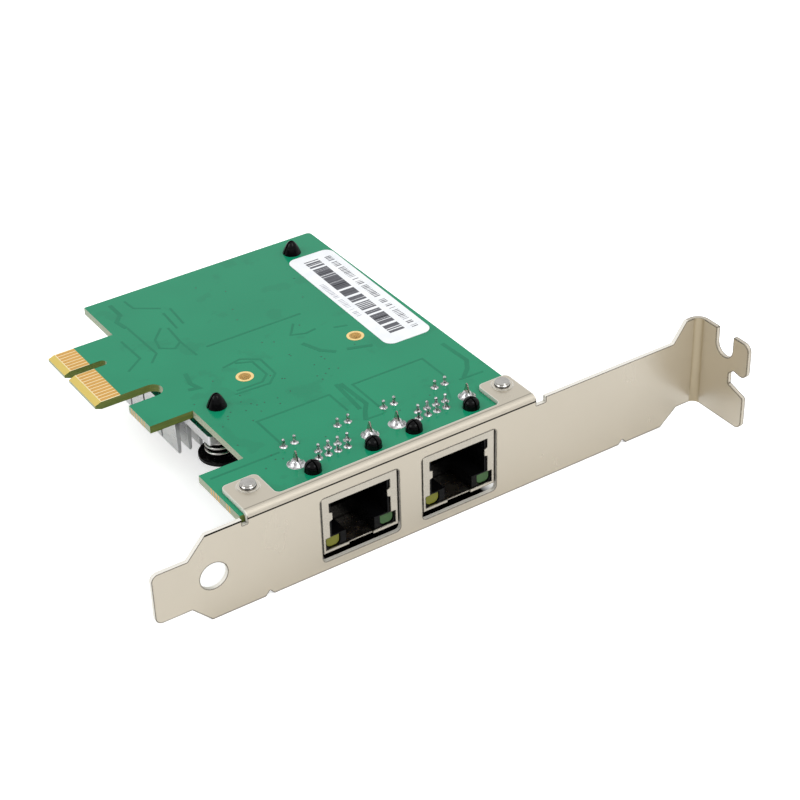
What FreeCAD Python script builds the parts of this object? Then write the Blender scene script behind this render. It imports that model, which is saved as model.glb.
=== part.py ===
import FreeCAD, Part
import math
import os
import Sketcher

# Dual-port network interface card with a full-height bracket.
# Card frame while sketching: X along the bracket towards its screw tab, Y from
# the bracket's outer face into the card, Z out of the board's solder side (z = 0).
# Every body is then shifted so that the origin is the bottom centre of the whole.

doc = FreeCAD.newDocument("network_card")
sheet = doc.addObject("Spreadsheet::Sheet", "Dims")

ROWS = [
    # circuit board
    ("board_thick", "1.57"),
    ("board_right", "53.2"),
    ("board_far", "79.9"),
    ("foot_out", "9.1"),
    ("foot_far", "15.6"),
    ("lug_out", "8.95"),
    ("lug_near", "34.3"),
    ("lug_far", "42.75"),
    ("slot_end", "0.9"),
    # edge connector
    ("key_y", "59.03"),
    ("key_to_near", "12.15"),
    ("key_to_far", "8.15"),
    ("key_wide", "1.9"),
    ("key_end", "5.45"),
    ("tongue_out", "13.9"),
    ("bevel_long", "1.3"),
    ("bevel_deep", "0.5"),
    ("finger_pitch", "1"),
    ("finger_wide", "0.7"),
    ("finger_out", "12.4"),
    ("finger_in", "8.5"),
    ("plating", "0.05"),
    # bracket
    ("sheet_thick", "0.86"),
    ("bend_inner", "0.24"),
    ("bracket_wide", "18.42"),
    ("bracket_long", "120.02"),
    ("plate_drop", "0.1"),
    ("tongue_tip", "27.2"),
    ("tail_root", "20.2"),
    ("tail_wide", "10.5"),
    ("tail_drop", "4.1"),
    ("taper_end", "16.5"),
    ("tail_round", "1.4"),
    ("sight_hole_x", "15.5"),
    ("sight_hole_bore", "5.4"),
    ("relief_wide", "1.1"),
    ("relief_deep", "1.2"),
    ("ear_deep", "9.4"),
    ("ear_wide", "7.2"),
    ("ear_right_wide", "6.8"),
    ("ear_round", "1.1"),
    ("collar_wide", "4.1"),
    ("collar_high", "0.25"),
    ("ear_left", "8.2"),
    ("ear_right", "53.5"),
    ("strip_deep", "2.05"),
    ("flare_start", "86.6"),
    ("flare_run", "3"),
    ("neck_start", "84.3"),
    ("neck_run", "3.9"),
    ("tab_reach", "13.9"),
    ("tab_rise", "4"),
    ("tab_low", "15.2"),
    ("tab_bend", "1.6"),
    ("tab_round", "1.6"),
    ("screw_slot_y", "7.36"),
    ("screw_slot_wide", "4.7"),
    ("screw_slot_centre", "1"),
    ("tab_notch_in", "9.05"),
    ("tab_notch_top", "3.2"),
    ("tab_notch_low", "7.2"),
    ("prong_reach", "13.35"),
    ("prong_round", "0.7"),
    # ports
    ("port_first", "14.55"),
    ("port_pitch", "21.5"),
    ("window_wide", "16.6"),
    ("window_top", "2.65"),
    ("window_low", "16.55"),
    ("window_round", "0.9"),
    ("shell_wide", "15.9"),
    ("shell_front", "0.25"),
    ("shell_back", "16.2"),
    ("shell_low", "15"),
    ("shell_sheet", "0.3"),
    ("shell_rest", "0.15"),
    ("nose_top", "2.85"),
    ("mouth_wide", "12.85"),
    ("mouth_top", "4.4"),
    ("mouth_low", "11.8"),
    ("lamp_window_wide", "14.85"),
    ("lip_top", "14.35"),
    ("lip_gap", "5.1"),
    ("finger_tab_in", "0.65"),
    ("finger_tab_top", "6.3"),
    ("finger_tab_low", "8.3"),
    ("blade_x", "5.3"),
    ("blade_wide", "2"),
    ("blade_root", "8"),
    ("blade_bend", "3.4"),
    ("blade_tip", "2.6"),
    ("blade_low", "16.3"),
    ("tail_y", "8.6"),
    ("tail_span", "1.5"),
    ("tail_up", "2.8"),
    ("tail_hole", "1.8"),
    ("insert_gap", "0.1"),
    ("bay_wide", "11.9"),
    ("bay_deep", "13"),
    ("bay_low", "11.7"),
    ("latch_wide", "6.1"),
    ("post_y", "5.2"),
    ("post_span", "12.7"),
    ("post_bore", "3.25"),
    ("post_up", "2"),
    ("post_dome", "1.3"),
    ("post_split", "0.3"),
    ("comb_near", "1.7"),
    ("comb_far", "10.4"),
    ("comb_slot", "0.5"),
    ("wire_pitch", "1.016"),
    ("wire_thick", "0.36"),
    ("wire_up", "1.45"),
    ("wire_shelf", "-2.5"),
    ("wire_front", "2.1"),
    ("wire_end", "9.5"),
    ("wire_end_low", "7.5"),
    ("row_near", "7.78"),
    ("row_far", "9.6"),
    ("lamp_wide", "2.8"),
    ("lamp_flat", "12.05"),
    ("lamp_low", "14.25"),
    ("lamp_round", "1"),
    ("lamp_front", "0.8"),
    ("lamp_long", "5.2"),
    ("lead_y", "14.5"),
    ("lead_outer", "6.86"),
    ("lead_pitch", "2.29"),
    ("lead_thick", "0.46"),
    ("pin_hole", "0.8"),
    # solder joints
    ("joint_bore", "0.64"),
    ("joint_wide", "1.5"),
    ("joint_high", "0.95"),
    ("joint_neck", "0.54"),
    ("tail_joint_wide", "3.4"),
    ("tail_joint_high", "1"),
    ("joint_cap", "0.22"),
    # plated holes and label
    ("eyelet_first_x", "13.6"),
    ("eyelet_second_x", "38.5"),
    ("eyelet_y", "38.7"),
    ("eyelet_flange", "3.5"),
    ("eyelet_bore", "2.5"),
    ("label_left", "42.4"),
    ("label_right", "52.9"),
    ("label_near", "31.6"),
    ("label_far", "71.4"),
    ("label_thick", "0.1"),
    ("label_round", "2"),
    # bracket screws
    ("screw_left_x", "-4.06"),
    ("screw_right_x", "50.6"),
    ("screw_y", "6.75"),
    ("screw_bore", "3"),
    ("screw_hole", "3.2"),
    ("screw_tip", "1.95"),
    ("thread_deep", "0.22"),
    ("thread_pitch", "0.45"),
    ("screw_head_wide", "5.5"),
    ("screw_head_high", "1.7"),
    ("screw_recess", "2.4"),
    # controller and heat sink
    ("chip_x", "25"),
    ("chip_y", "53.8"),
    ("chip_wide", "17"),
    ("chip_carrier", "0.6"),
    ("chip_high", "1.9"),
    ("chip_cap_wide", "14.6"),
    ("pad_thick", "0.53"),
    ("sink_left", "-0.9"),
    ("sink_right", "50.9"),
    ("sink_near", "41"),
    ("sink_far", "66.6"),
    ("sink_base", "2"),
    ("fin_high", "7.4"),
    ("fin_root", "1.1"),
    ("fin_tip", "0.75"),
    ("fin_count", "23"),
    ("fin_cut_wide", "0.65"),
    ("fin_cut_pitch", "6.35"),
    ("sink_ear_left", "0.65"),
    ("sink_ear_right", "9"),
    ("sink_ear_end", "30.1"),
    ("sink_ear_round", "0.5"),
    ("pin_near_x", "4.4"),
    ("pin_near_y", "33.1"),
    ("pin_bore", "2.9"),
    ("pin_clear", "0.1"),
    ("pin_barb", "3.9"),
    ("pin_tip", "2.75"),
    ("pin_kerf", "0.35"),
    ("pin_head", "8.7"),
    ("pin_head_thick", "1.1"),
    ("spring_long", "4.1"),
    ("spring_wire", "0.56"),
    ("spring_radius", "2.75"),
    ("spring_turns", "3"),
    # component side
    ("module_wide", "16.4"),
    ("module_deep", "9.4"),
    ("module_high", "5.6"),
    ("module_y", "22.9"),
    ("lead_count", "12"),
    ("lead_step", "1.27"),
    ("lead_wide", "0.5"),
    ("lead_sheet", "0.25"),
    ("lead_foot", "0.95"),
    ("lead_arm", "0.55"),
    ("lead_drop", "2.3"),
    ("stand_off", "0.15"),
    ("mould_slope", "0.35"),
    ("flash_x", "12"),
    ("flash_y", "73"),
    ("flash_wide", "4.9"),
    ("flash_deep", "3.9"),
    ("flash_high", "1.45"),
    ("crystal_x", "22.5"),
    ("crystal_wide", "10.6"),
    ("crystal_deep", "4.2"),
    ("crystal_high", "3.3"),
    ("crystal_rim", "0.35"),
    ("crystal_foot", "0.5"),
    ("regulator_first_x", "15"),
    ("regulator_second_x", "44.5"),
    ("regulator_y", "33"),
    ("regulator_wide", "6.5"),
    ("regulator_deep", "3.5"),
    ("regulator_high", "1.6"),
    ("regulator_step", "2.3"),
    ("regulator_leg", "0.7"),
    ("regulator_tab", "3"),
    ("coil_first_x", "23.5"),
    ("coil_second_x", "32.5"),
    ("coil_y", "34.5"),
    ("coil_wide", "7"),
    ("coil_plate", "0.7"),
    ("coil_high", "3.2"),
    ("coil_core", "5.4"),
    ("coil_winding", "6.5"),
    ("coil_corner", "1.1"),
    ("tantalum_first_x", "32"),
    ("tantalum_second_x", "37"),
    ("tantalum_wide", "3.5"),
    ("tantalum_deep", "2.8"),
    ("tantalum_high", "1.75"),
    ("strap_wide", "2.2"),
    ("strap_reach", "0.8"),
    ("passive_long", "1.6"),
    ("passive_wide", "0.8"),
    ("passive_high", "0.7"),
    ("passive_cap", "0.3"),
    ("coupling_x", "-4"),
    ("coupling_y", "48.5"),
    ("coupling_step", "2"),
    ("decoupling_off", "11"),
    ("decoupling_step", "3"),
    ("resistor_x", "16"),
    ("resistor_off", "4.2"),
    ("resistor_step", "2"),
    # worked out
    ("bottom", "=-plate_drop - bracket_wide"),
    ("tab_in", "=bracket_long - tongue_tip"),
    ("tab_out", "=tab_in + sheet_thick"),
    ("board_near", "=sheet_thick + bend_inner"),
    ("tongue_near", "=key_y - key_to_near"),
    ("tongue_far", "=key_y + key_to_far"),
    ("slot_radius", "=(tongue_near - lug_far) / 2"),
    ("slot_mid", "=(tongue_near + lug_far) / 2"),
    ("slot_centre", "=-slot_end - slot_radius"),
    ("key_centre", "=-key_end - key_wide / 2"),
    ("under", "=-board_thick"),
    ("port_second", "=port_first + port_pitch"),
    ("shell_half", "=shell_wide / 2"),
    ("shell_top", "=under - shell_rest"),
    ("insert_half", "=shell_half - shell_sheet - insert_gap"),
    ("insert_front", "=shell_front + shell_sheet"),
    ("insert_back", "=shell_back - shell_sheet - insert_gap"),
    ("insert_low", "=-shell_low + shell_sheet + insert_gap"),
    ("step_back", "=sheet_thick + bend_inner"),
    ("tail_side", "=shell_half - shell_sheet / 2"),
    ("finger_first", "=key_y - 1.5 * finger_pitch"),
    ("finger_eighth", "=key_y + 1.5 * finger_pitch"),
    ("sink_top", "=under - chip_high - pad_thick"),
    ("sink_under", "=sink_top - sink_base"),
    ("fin_pitch", "=(sink_right - sink_left - fin_root) / (fin_count - 1)"),
    ("sink_mid", "=(sink_near + sink_far) / 2"),
    ("head_top", "=sink_under - spring_long"),
    ("pin_far_x", "=2 * chip_x - pin_near_x"),
    ("pin_far_y", "=2 * chip_y - pin_near_y"),
    ("lamp_x", "=lead_outer - lead_pitch / 2"),
    ("lamp_centre", "=-lamp_low + lamp_wide / 2"),
    ("shift_x", "=tongue_tip - (bracket_long + sheet_thick) / 2"),
    ("shift_y", "=(tab_reach - board_far) / 2"),
    ("shift_z", "=-bottom"),
]

for number, (alias, value) in enumerate(ROWS, start=1):
    sheet.set("A%d" % number, alias)
    sheet.set("B%d" % number, value)
    sheet.setAlias("B%d" % number, alias)
doc.recompute()

NAMES = sorted((alias for alias, value in ROWS), key=len, reverse=True)


def bind(text):
    """Write a formula in the sheet's words as an expression on the sheet."""
    words = []
    word = ""
    for sign in text + " ":
        if sign.isalnum() or sign == "_":
            word += sign
            continue
        words.append("Dims." + word if word in NAMES else word)
        words.append(sign)
        word = ""
    return "".join(words).strip()


def number_of(alias):
    """The present value of one named size."""
    return float(sheet.get(alias))


def new_body(label):
    body = doc.addObject("PartDesign::Body", label)
    body.Label = label
    body.AllowCompound = True
    body.setExpression("Placement.Base.x", "Dims.shift_x")
    body.setExpression("Placement.Base.y", "Dims.shift_y")
    body.setExpression("Placement.Base.z", "Dims.shift_z")
    return body


def datum(body, role):
    for feature in body.Origin.OriginFeatures:
        if feature.Role == role:
            return feature
    raise RuntimeError("no origin feature " + role)


def new_sketch(body, name, role, offset="0"):
    """An empty sketch on one of the body's planes, moved along its normal."""
    sketch = body.newObject("Sketcher::SketchObject", name)
    sketch.AttachmentSupport = (datum(body, role), [""])
    sketch.MapMode = "FlatFace"
    sketch.setExpression("AttachmentOffset.Base.z", bind(offset))
    return sketch


def fix(sketch, kind, geometry, point, text):
    """Hold one coordinate of a point, measured from the sketch's origin."""
    row = sketch.addConstraint(
        Sketcher.Constraint(kind, -1, 1, geometry, point, 1.0)
    )
    sketch.setExpression("Constraints[%d]" % row, bind(text))


def outline(sketch, corners):
    """Add a closed outline of straight sides through the named corners."""
    first = sketch.GeometryCount
    count = len(corners)
    start = []
    for turn in range(count):
        angle = 2 * math.pi * turn / count
        start.append(FreeCAD.Vector(40 * math.cos(angle), 40 * math.sin(angle), 0))
    for turn in range(count):
        side = Part.LineSegment(start[turn], start[(turn + 1) % count])
        sketch.addGeometry(side, False)
    for turn in range(count):
        following = first + (turn + 1) % count
        sketch.addConstraint(
            Sketcher.Constraint("Coincident", first + turn, 2, following, 1)
        )
    for turn, (across, along) in enumerate(corners):
        fix(sketch, "DistanceX", first + turn, 1, across)
        fix(sketch, "DistanceY", first + turn, 1, along)


def box_corners(left, right, low, high):
    return [(left, low), (right, low), (right, high), (left, high)]


def rings(sketch, places, bore):
    """Add circles of one diameter at the named places."""
    for across, along in places:
        circle = Part.Circle(FreeCAD.Vector(1, 1, 0), FreeCAD.Vector(0, 0, 1), 1)
        index = sketch.addGeometry(circle, False)
        fix(sketch, "DistanceX", index, 3, across)
        fix(sketch, "DistanceY", index, 3, along)
        row = sketch.addConstraint(Sketcher.Constraint("Diameter", index, 2.0))
        sketch.setExpression("Constraints[%d]" % row, bind(bore))


def pad(body, name, sketch, length, back=False):
    feature = body.newObject("PartDesign::Pad", name)
    feature.Profile = sketch
    feature.setExpression("Length", bind(length))
    feature.Reversed = back
    sketch.Visibility = False
    doc.recompute()
    body.Tip = feature
    return feature


def pocket(body, name, sketch, length=None, back=False):
    """Cut a sketch out, through everything unless a depth is named."""
    before = body.Tip.Shape.Volume
    feature = body.newObject("PartDesign::Pocket", name)
    feature.Profile = sketch
    if length:
        feature.setExpression("Length", bind(length))
    else:
        feature.Type = 1
    feature.Reversed = back
    sketch.Visibility = False
    doc.recompute()
    body.Tip = feature
    if not feature.Shape.Volume < before - 1e-6:
        raise RuntimeError(name + " cuts nothing")
    return feature


def turned(body, name, across, along, corners):
    """Turn a half section about the upright line at the named place."""
    section = new_sketch(body, name + "_section", "XZ_Plane", "-(%s)" % along)
    section.setExpression("AttachmentOffset.Base.x", bind(across))
    outline(section, corners)
    feature = body.newObject("PartDesign::Revolution", name)
    feature.Profile = section
    feature.ReferenceAxis = (section, ["V_Axis"])
    feature.Angle = 360
    section.Visibility = False
    doc.recompute()
    body.Tip = feature
    return feature


def round_edges(body, name, radius, chosen, kind="PartDesign::Fillet"):
    """Round (or chamfer) the edges of the last feature that the test picks."""
    base = body.Tip
    picked = []
    for number, edge in enumerate(base.Shape.Edges, start=1):
        if chosen(edge):
            picked.append("Edge%d" % number)
    if not picked:
        raise RuntimeError(name + " found no edge")
    feature = body.newObject(kind, name)
    feature.Base = (base, picked)
    word = "Radius" if kind.endswith("Fillet") else "Size"
    feature.setExpression(word, bind(radius))
    doc.recompute()
    body.Tip = feature
    return feature


def upright(edge, axis):
    """True when an edge is a straight line along the given axis."""
    if len(edge.Vertexes) != 2 or not isinstance(edge.Curve, Part.Line):
        return False
    run = edge.Vertexes[1].Point - edge.Vertexes[0].Point
    return abs(abs(run.dot(axis)) - run.Length) < 1e-6


def near(value, aim, slack=0.02):
    return abs(value - aim) < slack


def repeat(body, name, features, axis, reach, count):
    """Repeat features in a straight row."""
    feature = body.newObject("PartDesign::LinearPattern", name)
    feature.Originals = features
    feature.Direction = (datum(body, axis), [""])
    feature.setExpression("Length", bind(reach))
    feature.setExpression("Occurrences", bind(count))
    doc.recompute()
    body.Tip = feature
    return feature


ALONG_X = FreeCAD.Vector(1, 0, 0)
ALONG_Y = FreeCAD.Vector(0, 1, 0)
ALONG_Z = FreeCAD.Vector(0, 0, 1)
PORTS = [("port_1", "port_first"), ("port_2", "port_second")]
lens_floor = -number_of("lamp_low")
way_floor = lens_floor - number_of("insert_gap")


# ---------------------------------------------------------------- board
board = new_body("circuit_board")
plan = new_sketch(board, "board_plan", "XY_Plane")
outline(plan, [
    ("-foot_out", "board_near"),
    ("board_right", "board_near"),
    ("board_right", "board_far"),
    ("0", "board_far"),
    ("0", "tongue_far"),
    ("-tongue_out", "tongue_far"),
    ("-tongue_out", "key_y + key_wide / 2"),
    ("key_centre", "key_y + key_wide / 2"),
    ("key_centre", "key_y - key_wide / 2"),
    ("-tongue_out", "key_y - key_wide / 2"),
    ("-tongue_out", "tongue_near"),
    ("slot_centre", "tongue_near"),
    ("slot_centre", "lug_far"),
    ("-lug_out", "lug_far"),
    ("-lug_out", "lug_near"),
    ("0", "lug_near"),
    ("0", "foot_far"),
    ("-foot_out", "foot_far"),
])
pad(board, "board_slab", plan, "board_thick", back=True)

slot_round = new_sketch(board, "slot_round", "XY_Plane")
rings(slot_round, [("slot_centre", "slot_mid")], "2 * slot_radius")
pocket(board, "slot_end_cut", slot_round)
key_round = new_sketch(board, "key_round", "XY_Plane")
rings(key_round, [("key_centre", "key_y")], "key_wide")
pocket(board, "key_end_cut", key_round)

bevels = new_sketch(board, "edge_bevels", "XZ_Plane")
outline(bevels, [
    ("-tongue_out + bevel_long", "0"),
    ("-tongue_out", "-bevel_deep"),
    ("-tongue_out - 1", "-bevel_deep"),
    ("-tongue_out - 1", "0"),
])
outline(bevels, [
    ("-tongue_out + bevel_long", "under"),
    ("-tongue_out", "under + bevel_deep"),
    ("-tongue_out - 1", "under + bevel_deep"),
    ("-tongue_out - 1", "under"),
])
pocket(board, "edge_bevel_cut", bevels)

big_holes = new_sketch(board, "fastener_holes", "XY_Plane")
rings(big_holes, [("pin_near_x", "pin_near_y"), ("pin_far_x", "pin_far_y")],
      "pin_bore + 2 * pin_clear")
rings(big_holes, [("eyelet_first_x", "eyelet_y"), ("eyelet_second_x", "eyelet_y")],
      "eyelet_bore")
rings(big_holes, [("screw_left_x", "screw_y"), ("screw_right_x", "screw_y")],
      "screw_hole")
pocket(board, "fastener_hole_cut", big_holes)

for port, centre in PORTS:
    holes = new_sketch(board, port + "_holes", "XY_Plane")
    rings(holes, [
        (centre + " - post_span / 2", "post_y"),
        (centre + " + post_span / 2", "post_y"),
    ], "post_bore")
    rings(holes, [
        (centre + " - tail_side", "tail_y"),
        (centre + " + tail_side", "tail_y"),
    ], "tail_hole")
    leads = ["-lead_outer", "-lead_outer + lead_pitch",
             "+ lead_outer - lead_pitch", "+ lead_outer"]
    rings(holes, [(centre + lead, "lead_y") for lead in leads], "pin_hole")
    for step in range(4):
        rings(holes, [
            (centre + " + (%g) * wire_pitch" % (2 * step - 3.5), "row_near"),
            (centre + " + (%g) * wire_pitch" % (2 * step - 2.5), "row_far"),
        ], "pin_hole")
    pocket(board, port + "_hole_cut", holes)

far_right = number_of("board_right")
far_edge = number_of("board_far")
round_edges(board, "far_corner", "0.9", lambda edge: upright(edge, ALONG_Z)
            and near(edge.Vertexes[0].X, far_right)
            and near(edge.Vertexes[0].Y, far_edge))

# ---------------------------------------------------------------- gold fingers
for label, level, back in (
    ("edge_contacts_solder_side", "0", False),
    ("edge_contacts_component_side", "under", True),
):
    contacts = new_body(label)
    runs = (("near", "finger_first", 11, -1), ("far", "finger_eighth", 7, 1))
    for name, start, count, way in runs:
        strip = new_sketch(contacts, label + "_" + name, "XY_Plane", level)
        for turn in range(count):
            middle = "%s + (%d) * finger_pitch" % (start, way * turn)
            outline(strip, box_corners("-finger_out", "-finger_in",
                                       middle + " - finger_wide / 2",
                                       middle + " + finger_wide / 2"))
        pad(contacts, label + "_" + name + "_pads", strip, "plating", back=back)

# ---------------------------------------------------------------- plated holes
eyelets = new_body("plated_hole_rings")
spots = [("eyelet_first_x", "eyelet_y"), ("eyelet_second_x", "eyelet_y")]
for name, level, back in (("upper", "0", False), ("lower", "under", True)):
    flange = new_sketch(eyelets, name + "_flange", "XY_Plane", level)
    rings(flange, spots, "eyelet_flange")
    pad(eyelets, name + "_flange_pad", flange, "plating", back=back)
barrel = new_sketch(eyelets, "barrel", "XY_Plane")
rings(barrel, spots, "eyelet_bore")
pad(eyelets, "barrel_pad", barrel, "board_thick", back=True)
bore = new_sketch(eyelets, "eyelet_bore_sketch", "XY_Plane", "plating")
rings(bore, spots, "eyelet_bore - 2 * plating")
pocket(eyelets, "eyelet_bore_cut", bore)

# ---------------------------------------------------------------- label
label_body = new_body("label")
paper = new_sketch(label_body, "label_plan", "XY_Plane")
outline(paper, box_corners("label_left", "label_right", "label_near", "label_far"))
pad(label_body, "label_sheet", paper, "label_thick")
round_edges(label_body, "label_corners", "label_round",
            lambda edge: upright(edge, ALONG_Z))

# ---------------------------------------------------------------- bracket
bracket = new_body("bracket")
profile = new_sketch(bracket, "bracket_plan", "XY_Plane", "bottom")
outline(profile, [
    ("-tongue_tip", "0"),
    ("tab_in", "0"),
    ("tab_in", "-tab_reach"),
    ("tab_out", "-tab_reach"),
    ("tab_out", "sheet_thick"),
    ("-tongue_tip", "sheet_thick"),
])
pad(bracket, "bracket_blank", profile, "tab_rise - bottom")
tab_in = number_of("tab_in")
tab_out = number_of("tab_out")
thick = number_of("sheet_thick")
round_edges(bracket, "tab_bend_inner", "tab_bend", lambda edge: upright(edge, ALONG_Z)
            and near(edge.Vertexes[0].X, tab_in) and near(edge.Vertexes[0].Y, 0))
round_edges(bracket, "tab_bend_outer", "tab_bend + sheet_thick",
            lambda edge: upright(edge, ALONG_Z)
            and near(edge.Vertexes[0].X, tab_out) and near(edge.Vertexes[0].Y, thick))

top_cut = new_sketch(bracket, "top_line", "XZ_Plane", "-board_far")
outline(top_cut, [
    ("-tongue_tip - 1", "-plate_drop - tail_drop"),
    ("-tail_root", "-plate_drop - tail_drop"),
    ("-taper_end", "-plate_drop"),
    ("flare_start", "-plate_drop"),
    ("flare_start + flare_run", "tab_rise"),
    ("flare_start + flare_run", "tab_rise + 1"),
    ("-tongue_tip - 1", "tab_rise + 1"),
])
pocket(bracket, "top_line_cut", top_cut, back=True)
low_cut = new_sketch(bracket, "low_line", "XZ_Plane", "-board_far")
outline(low_cut, [
    ("-tongue_tip - 1", "-plate_drop - tail_drop - tail_wide"),
    ("-tail_root", "-plate_drop - tail_drop - tail_wide"),
    ("-taper_end", "bottom"),
    ("neck_start", "bottom"),
    ("neck_start + neck_run", "-tab_low"),
    ("tab_out + 1", "-tab_low"),
    ("tab_out + 1", "bottom - 1"),
    ("-tongue_tip - 1", "bottom - 1"),
])
pocket(bracket, "low_line_cut", low_cut, back=True)
tip = -number_of("tongue_tip")
round_edges(bracket, "tail_corners", "tail_round",
            lambda edge: upright(edge, ALONG_Y) and near(edge.Vertexes[0].X, tip))

windows = new_sketch(bracket, "port_windows", "XZ_Plane", "-board_far")
for port, centre in PORTS:
    outline(windows, box_corners(centre + " - window_wide / 2",
                                 centre + " + window_wide / 2",
                                 "-window_low", "-window_top"))
pocket(bracket, "port_window_cut", windows, back=True)
window_rows = (-number_of("window_low"), -number_of("window_top"))
round_edges(bracket, "window_corners", "window_round",
            lambda edge: upright(edge, ALONG_Y)
            and (near(edge.Vertexes[0].Z, window_rows[0])
                 or near(edge.Vertexes[0].Z, window_rows[1])))
sight = new_sketch(bracket, "sight_hole", "XZ_Plane", "-board_far")
rings(sight, [("-sight_hole_x", "bottom + bracket_wide / 2")], "sight_hole_bore")
pocket(bracket, "sight_hole_cut", sight, back=True)

reliefs = new_sketch(bracket, "bend_reliefs", "XZ_Plane", "-board_far")
outline(reliefs, box_corners("-ear_left - relief_wide", "-ear_left",
                             "-plate_drop - relief_deep", "1"))
outline(reliefs, box_corners("ear_right", "ear_right + 2 * relief_wide",
                             "-plate_drop - relief_deep", "1"))
pocket(bracket, "bend_relief_cut", reliefs, back=True)

flange = new_sketch(bracket, "flange_profile", "YZ_Plane", "-ear_left")
outline(flange, [
    ("0", "-2 * relief_deep + 0.5"),
    ("sheet_thick", "-2 * relief_deep + 0.5"),
    ("sheet_thick", "0"),
    ("ear_deep", "0"),
    ("ear_deep", "sheet_thick"),
    ("0", "sheet_thick"),
])
pad(bracket, "flange_pad", flange, "ear_left + ear_right")
round_edges(bracket, "flange_bend_inner", "bend_inner",
            lambda edge: upright(edge, ALONG_X) and edge.Length > 50
            and near(edge.Vertexes[0].Y, thick) and near(edge.Vertexes[0].Z, 0))
round_edges(bracket, "flange_bend_outer", "bend_inner + sheet_thick",
            lambda edge: upright(edge, ALONG_X) and edge.Length > 50
            and near(edge.Vertexes[0].Y, 0) and near(edge.Vertexes[0].Z, thick))
between = new_sketch(bracket, "between_ears", "XY_Plane", "sheet_thick + 1")
outline(between, box_corners("-ear_left + ear_wide", "ear_right - ear_right_wide",
                             "strip_deep", "ear_deep + 1"))
pocket(bracket, "between_ears_cut", between)
corner_y = (number_of("ear_deep"), number_of("strip_deep"))
round_edges(bracket, "ear_corners", "ear_round",
            lambda edge: upright(edge, ALONG_Z)
            and (near(edge.Vertexes[0].Y, corner_y[0])
                 or near(edge.Vertexes[0].Y, corner_y[1])))
screw_spots = [("screw_left_x", "screw_y"), ("screw_right_x", "screw_y")]
collars = new_sketch(bracket, "thread_collars", "XY_Plane", "sheet_thick")
rings(collars, screw_spots, "collar_wide")
pad(bracket, "thread_collar_pad", collars, "collar_high")
ear_holes = new_sketch(bracket, "ear_holes", "XY_Plane", "sheet_thick + 1")
rings(ear_holes, screw_spots, "screw_bore")
pocket(bracket, "ear_hole_cut", ear_holes)

slot = new_sketch(bracket, "screw_slot", "YZ_Plane", "tab_out + 1")
outline(slot, box_corners("-screw_slot_y - screw_slot_wide / 2",
                          "-screw_slot_y + screw_slot_wide / 2",
                          "screw_slot_centre", "tab_rise + 1"))
pocket(bracket, "screw_slot_cut", slot, "4 * sheet_thick")
slot_end = new_sketch(bracket, "screw_slot_end", "YZ_Plane", "tab_out + 1")
rings(slot_end, [("-screw_slot_y", "screw_slot_centre")], "screw_slot_wide")
pocket(bracket, "screw_slot_end_cut", slot_end, "4 * sheet_thick")
notch = new_sketch(bracket, "tab_notch", "YZ_Plane", "tab_out + 1")
outline(notch, [
    ("-tab_reach - 1", "-tab_notch_top - 0.8"),
    ("-tab_notch_in - 1.3", "-tab_notch_top"),
    ("-tab_notch_in", "-tab_notch_top - 1.1"),
    ("-tab_notch_in", "-tab_notch_low + 0.5"),
    ("-prong_reach", "-tab_notch_low - 0.8"),
    ("-prong_reach", "-tab_low - 1"),
    ("-tab_reach - 1", "-tab_low - 1"),
])
pocket(bracket, "tab_notch_cut", notch, "4 * sheet_thick")
reach = -number_of("tab_reach")
prong = -number_of("prong_reach")
prong_top = -number_of("tab_notch_low") - 0.8
round_edges(bracket, "tab_corners", "tab_round",
            lambda edge: upright(edge, ALONG_X)
            and (near(edge.Vertexes[0].Y, reach)
                 or (near(edge.Vertexes[0].Y, prong)
                     and edge.Vertexes[0].Z < prong_top - 1)))
round_edges(bracket, "prong_corner", "prong_round",
            lambda edge: upright(edge, ALONG_X) and near(edge.Vertexes[0].Y, prong)
            and near(edge.Vertexes[0].Z, prong_top))

# ---------------------------------------------------------------- bracket screws
screws = new_body("bracket_screws")
SCREW = [
    ("0", "under - screw_head_high"),
    ("screw_head_wide / 2 - 0.7", "under - screw_head_high"),
    ("screw_head_wide / 2 - 0.2", "under - screw_head_high + 0.25"),
    ("screw_head_wide / 2", "under - screw_head_high + 0.75"),
    ("screw_head_wide / 2", "under"),
    ("screw_bore / 2", "under"),
    ("screw_bore / 2", "sheet_thick"),
    ("screw_bore / 2 - thread_deep", "sheet_thick + thread_pitch * 0.5"),
    ("screw_bore / 2", "sheet_thick + thread_pitch"),
    ("screw_bore / 2 - thread_deep", "sheet_thick + thread_pitch * 1.5"),
    ("screw_bore / 2 - thread_deep / 2", "sheet_thick + thread_pitch * 1.9"),
    ("screw_bore / 2 - 2 * thread_deep", "screw_tip"),
    ("0", "screw_tip"),
]
for number, (across, along) in enumerate(screw_spots, start=1):
    turned(screws, "screw_%d" % number, across, along, SCREW)
drive = new_sketch(screws, "screw_cross", "XY_Plane", "under - screw_head_high")
for spot_x, spot_y in screw_spots:
    half = "screw_recess / 2"
    arm = "screw_recess / 8"
    outline(drive, [
        (spot_x + " - " + half, spot_y + " - " + arm),
        (spot_x + " - " + arm, spot_y + " - " + arm),
        (spot_x + " - " + arm, spot_y + " - " + half),
        (spot_x + " + " + arm, spot_y + " - " + half),
        (spot_x + " + " + arm, spot_y + " - " + arm),
        (spot_x + " + " + half, spot_y + " - " + arm),
        (spot_x + " + " + half, spot_y + " + " + arm),
        (spot_x + " + " + arm, spot_y + " + " + arm),
        (spot_x + " + " + arm, spot_y + " + " + half),
        (spot_x + " - " + arm, spot_y + " + " + half),
        (spot_x + " - " + arm, spot_y + " + " + arm),
        (spot_x + " - " + half, spot_y + " + " + arm),
    ])
pocket(screws, "screw_cross_cut", drive, "screw_head_high * 0.7", back=True)

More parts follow.
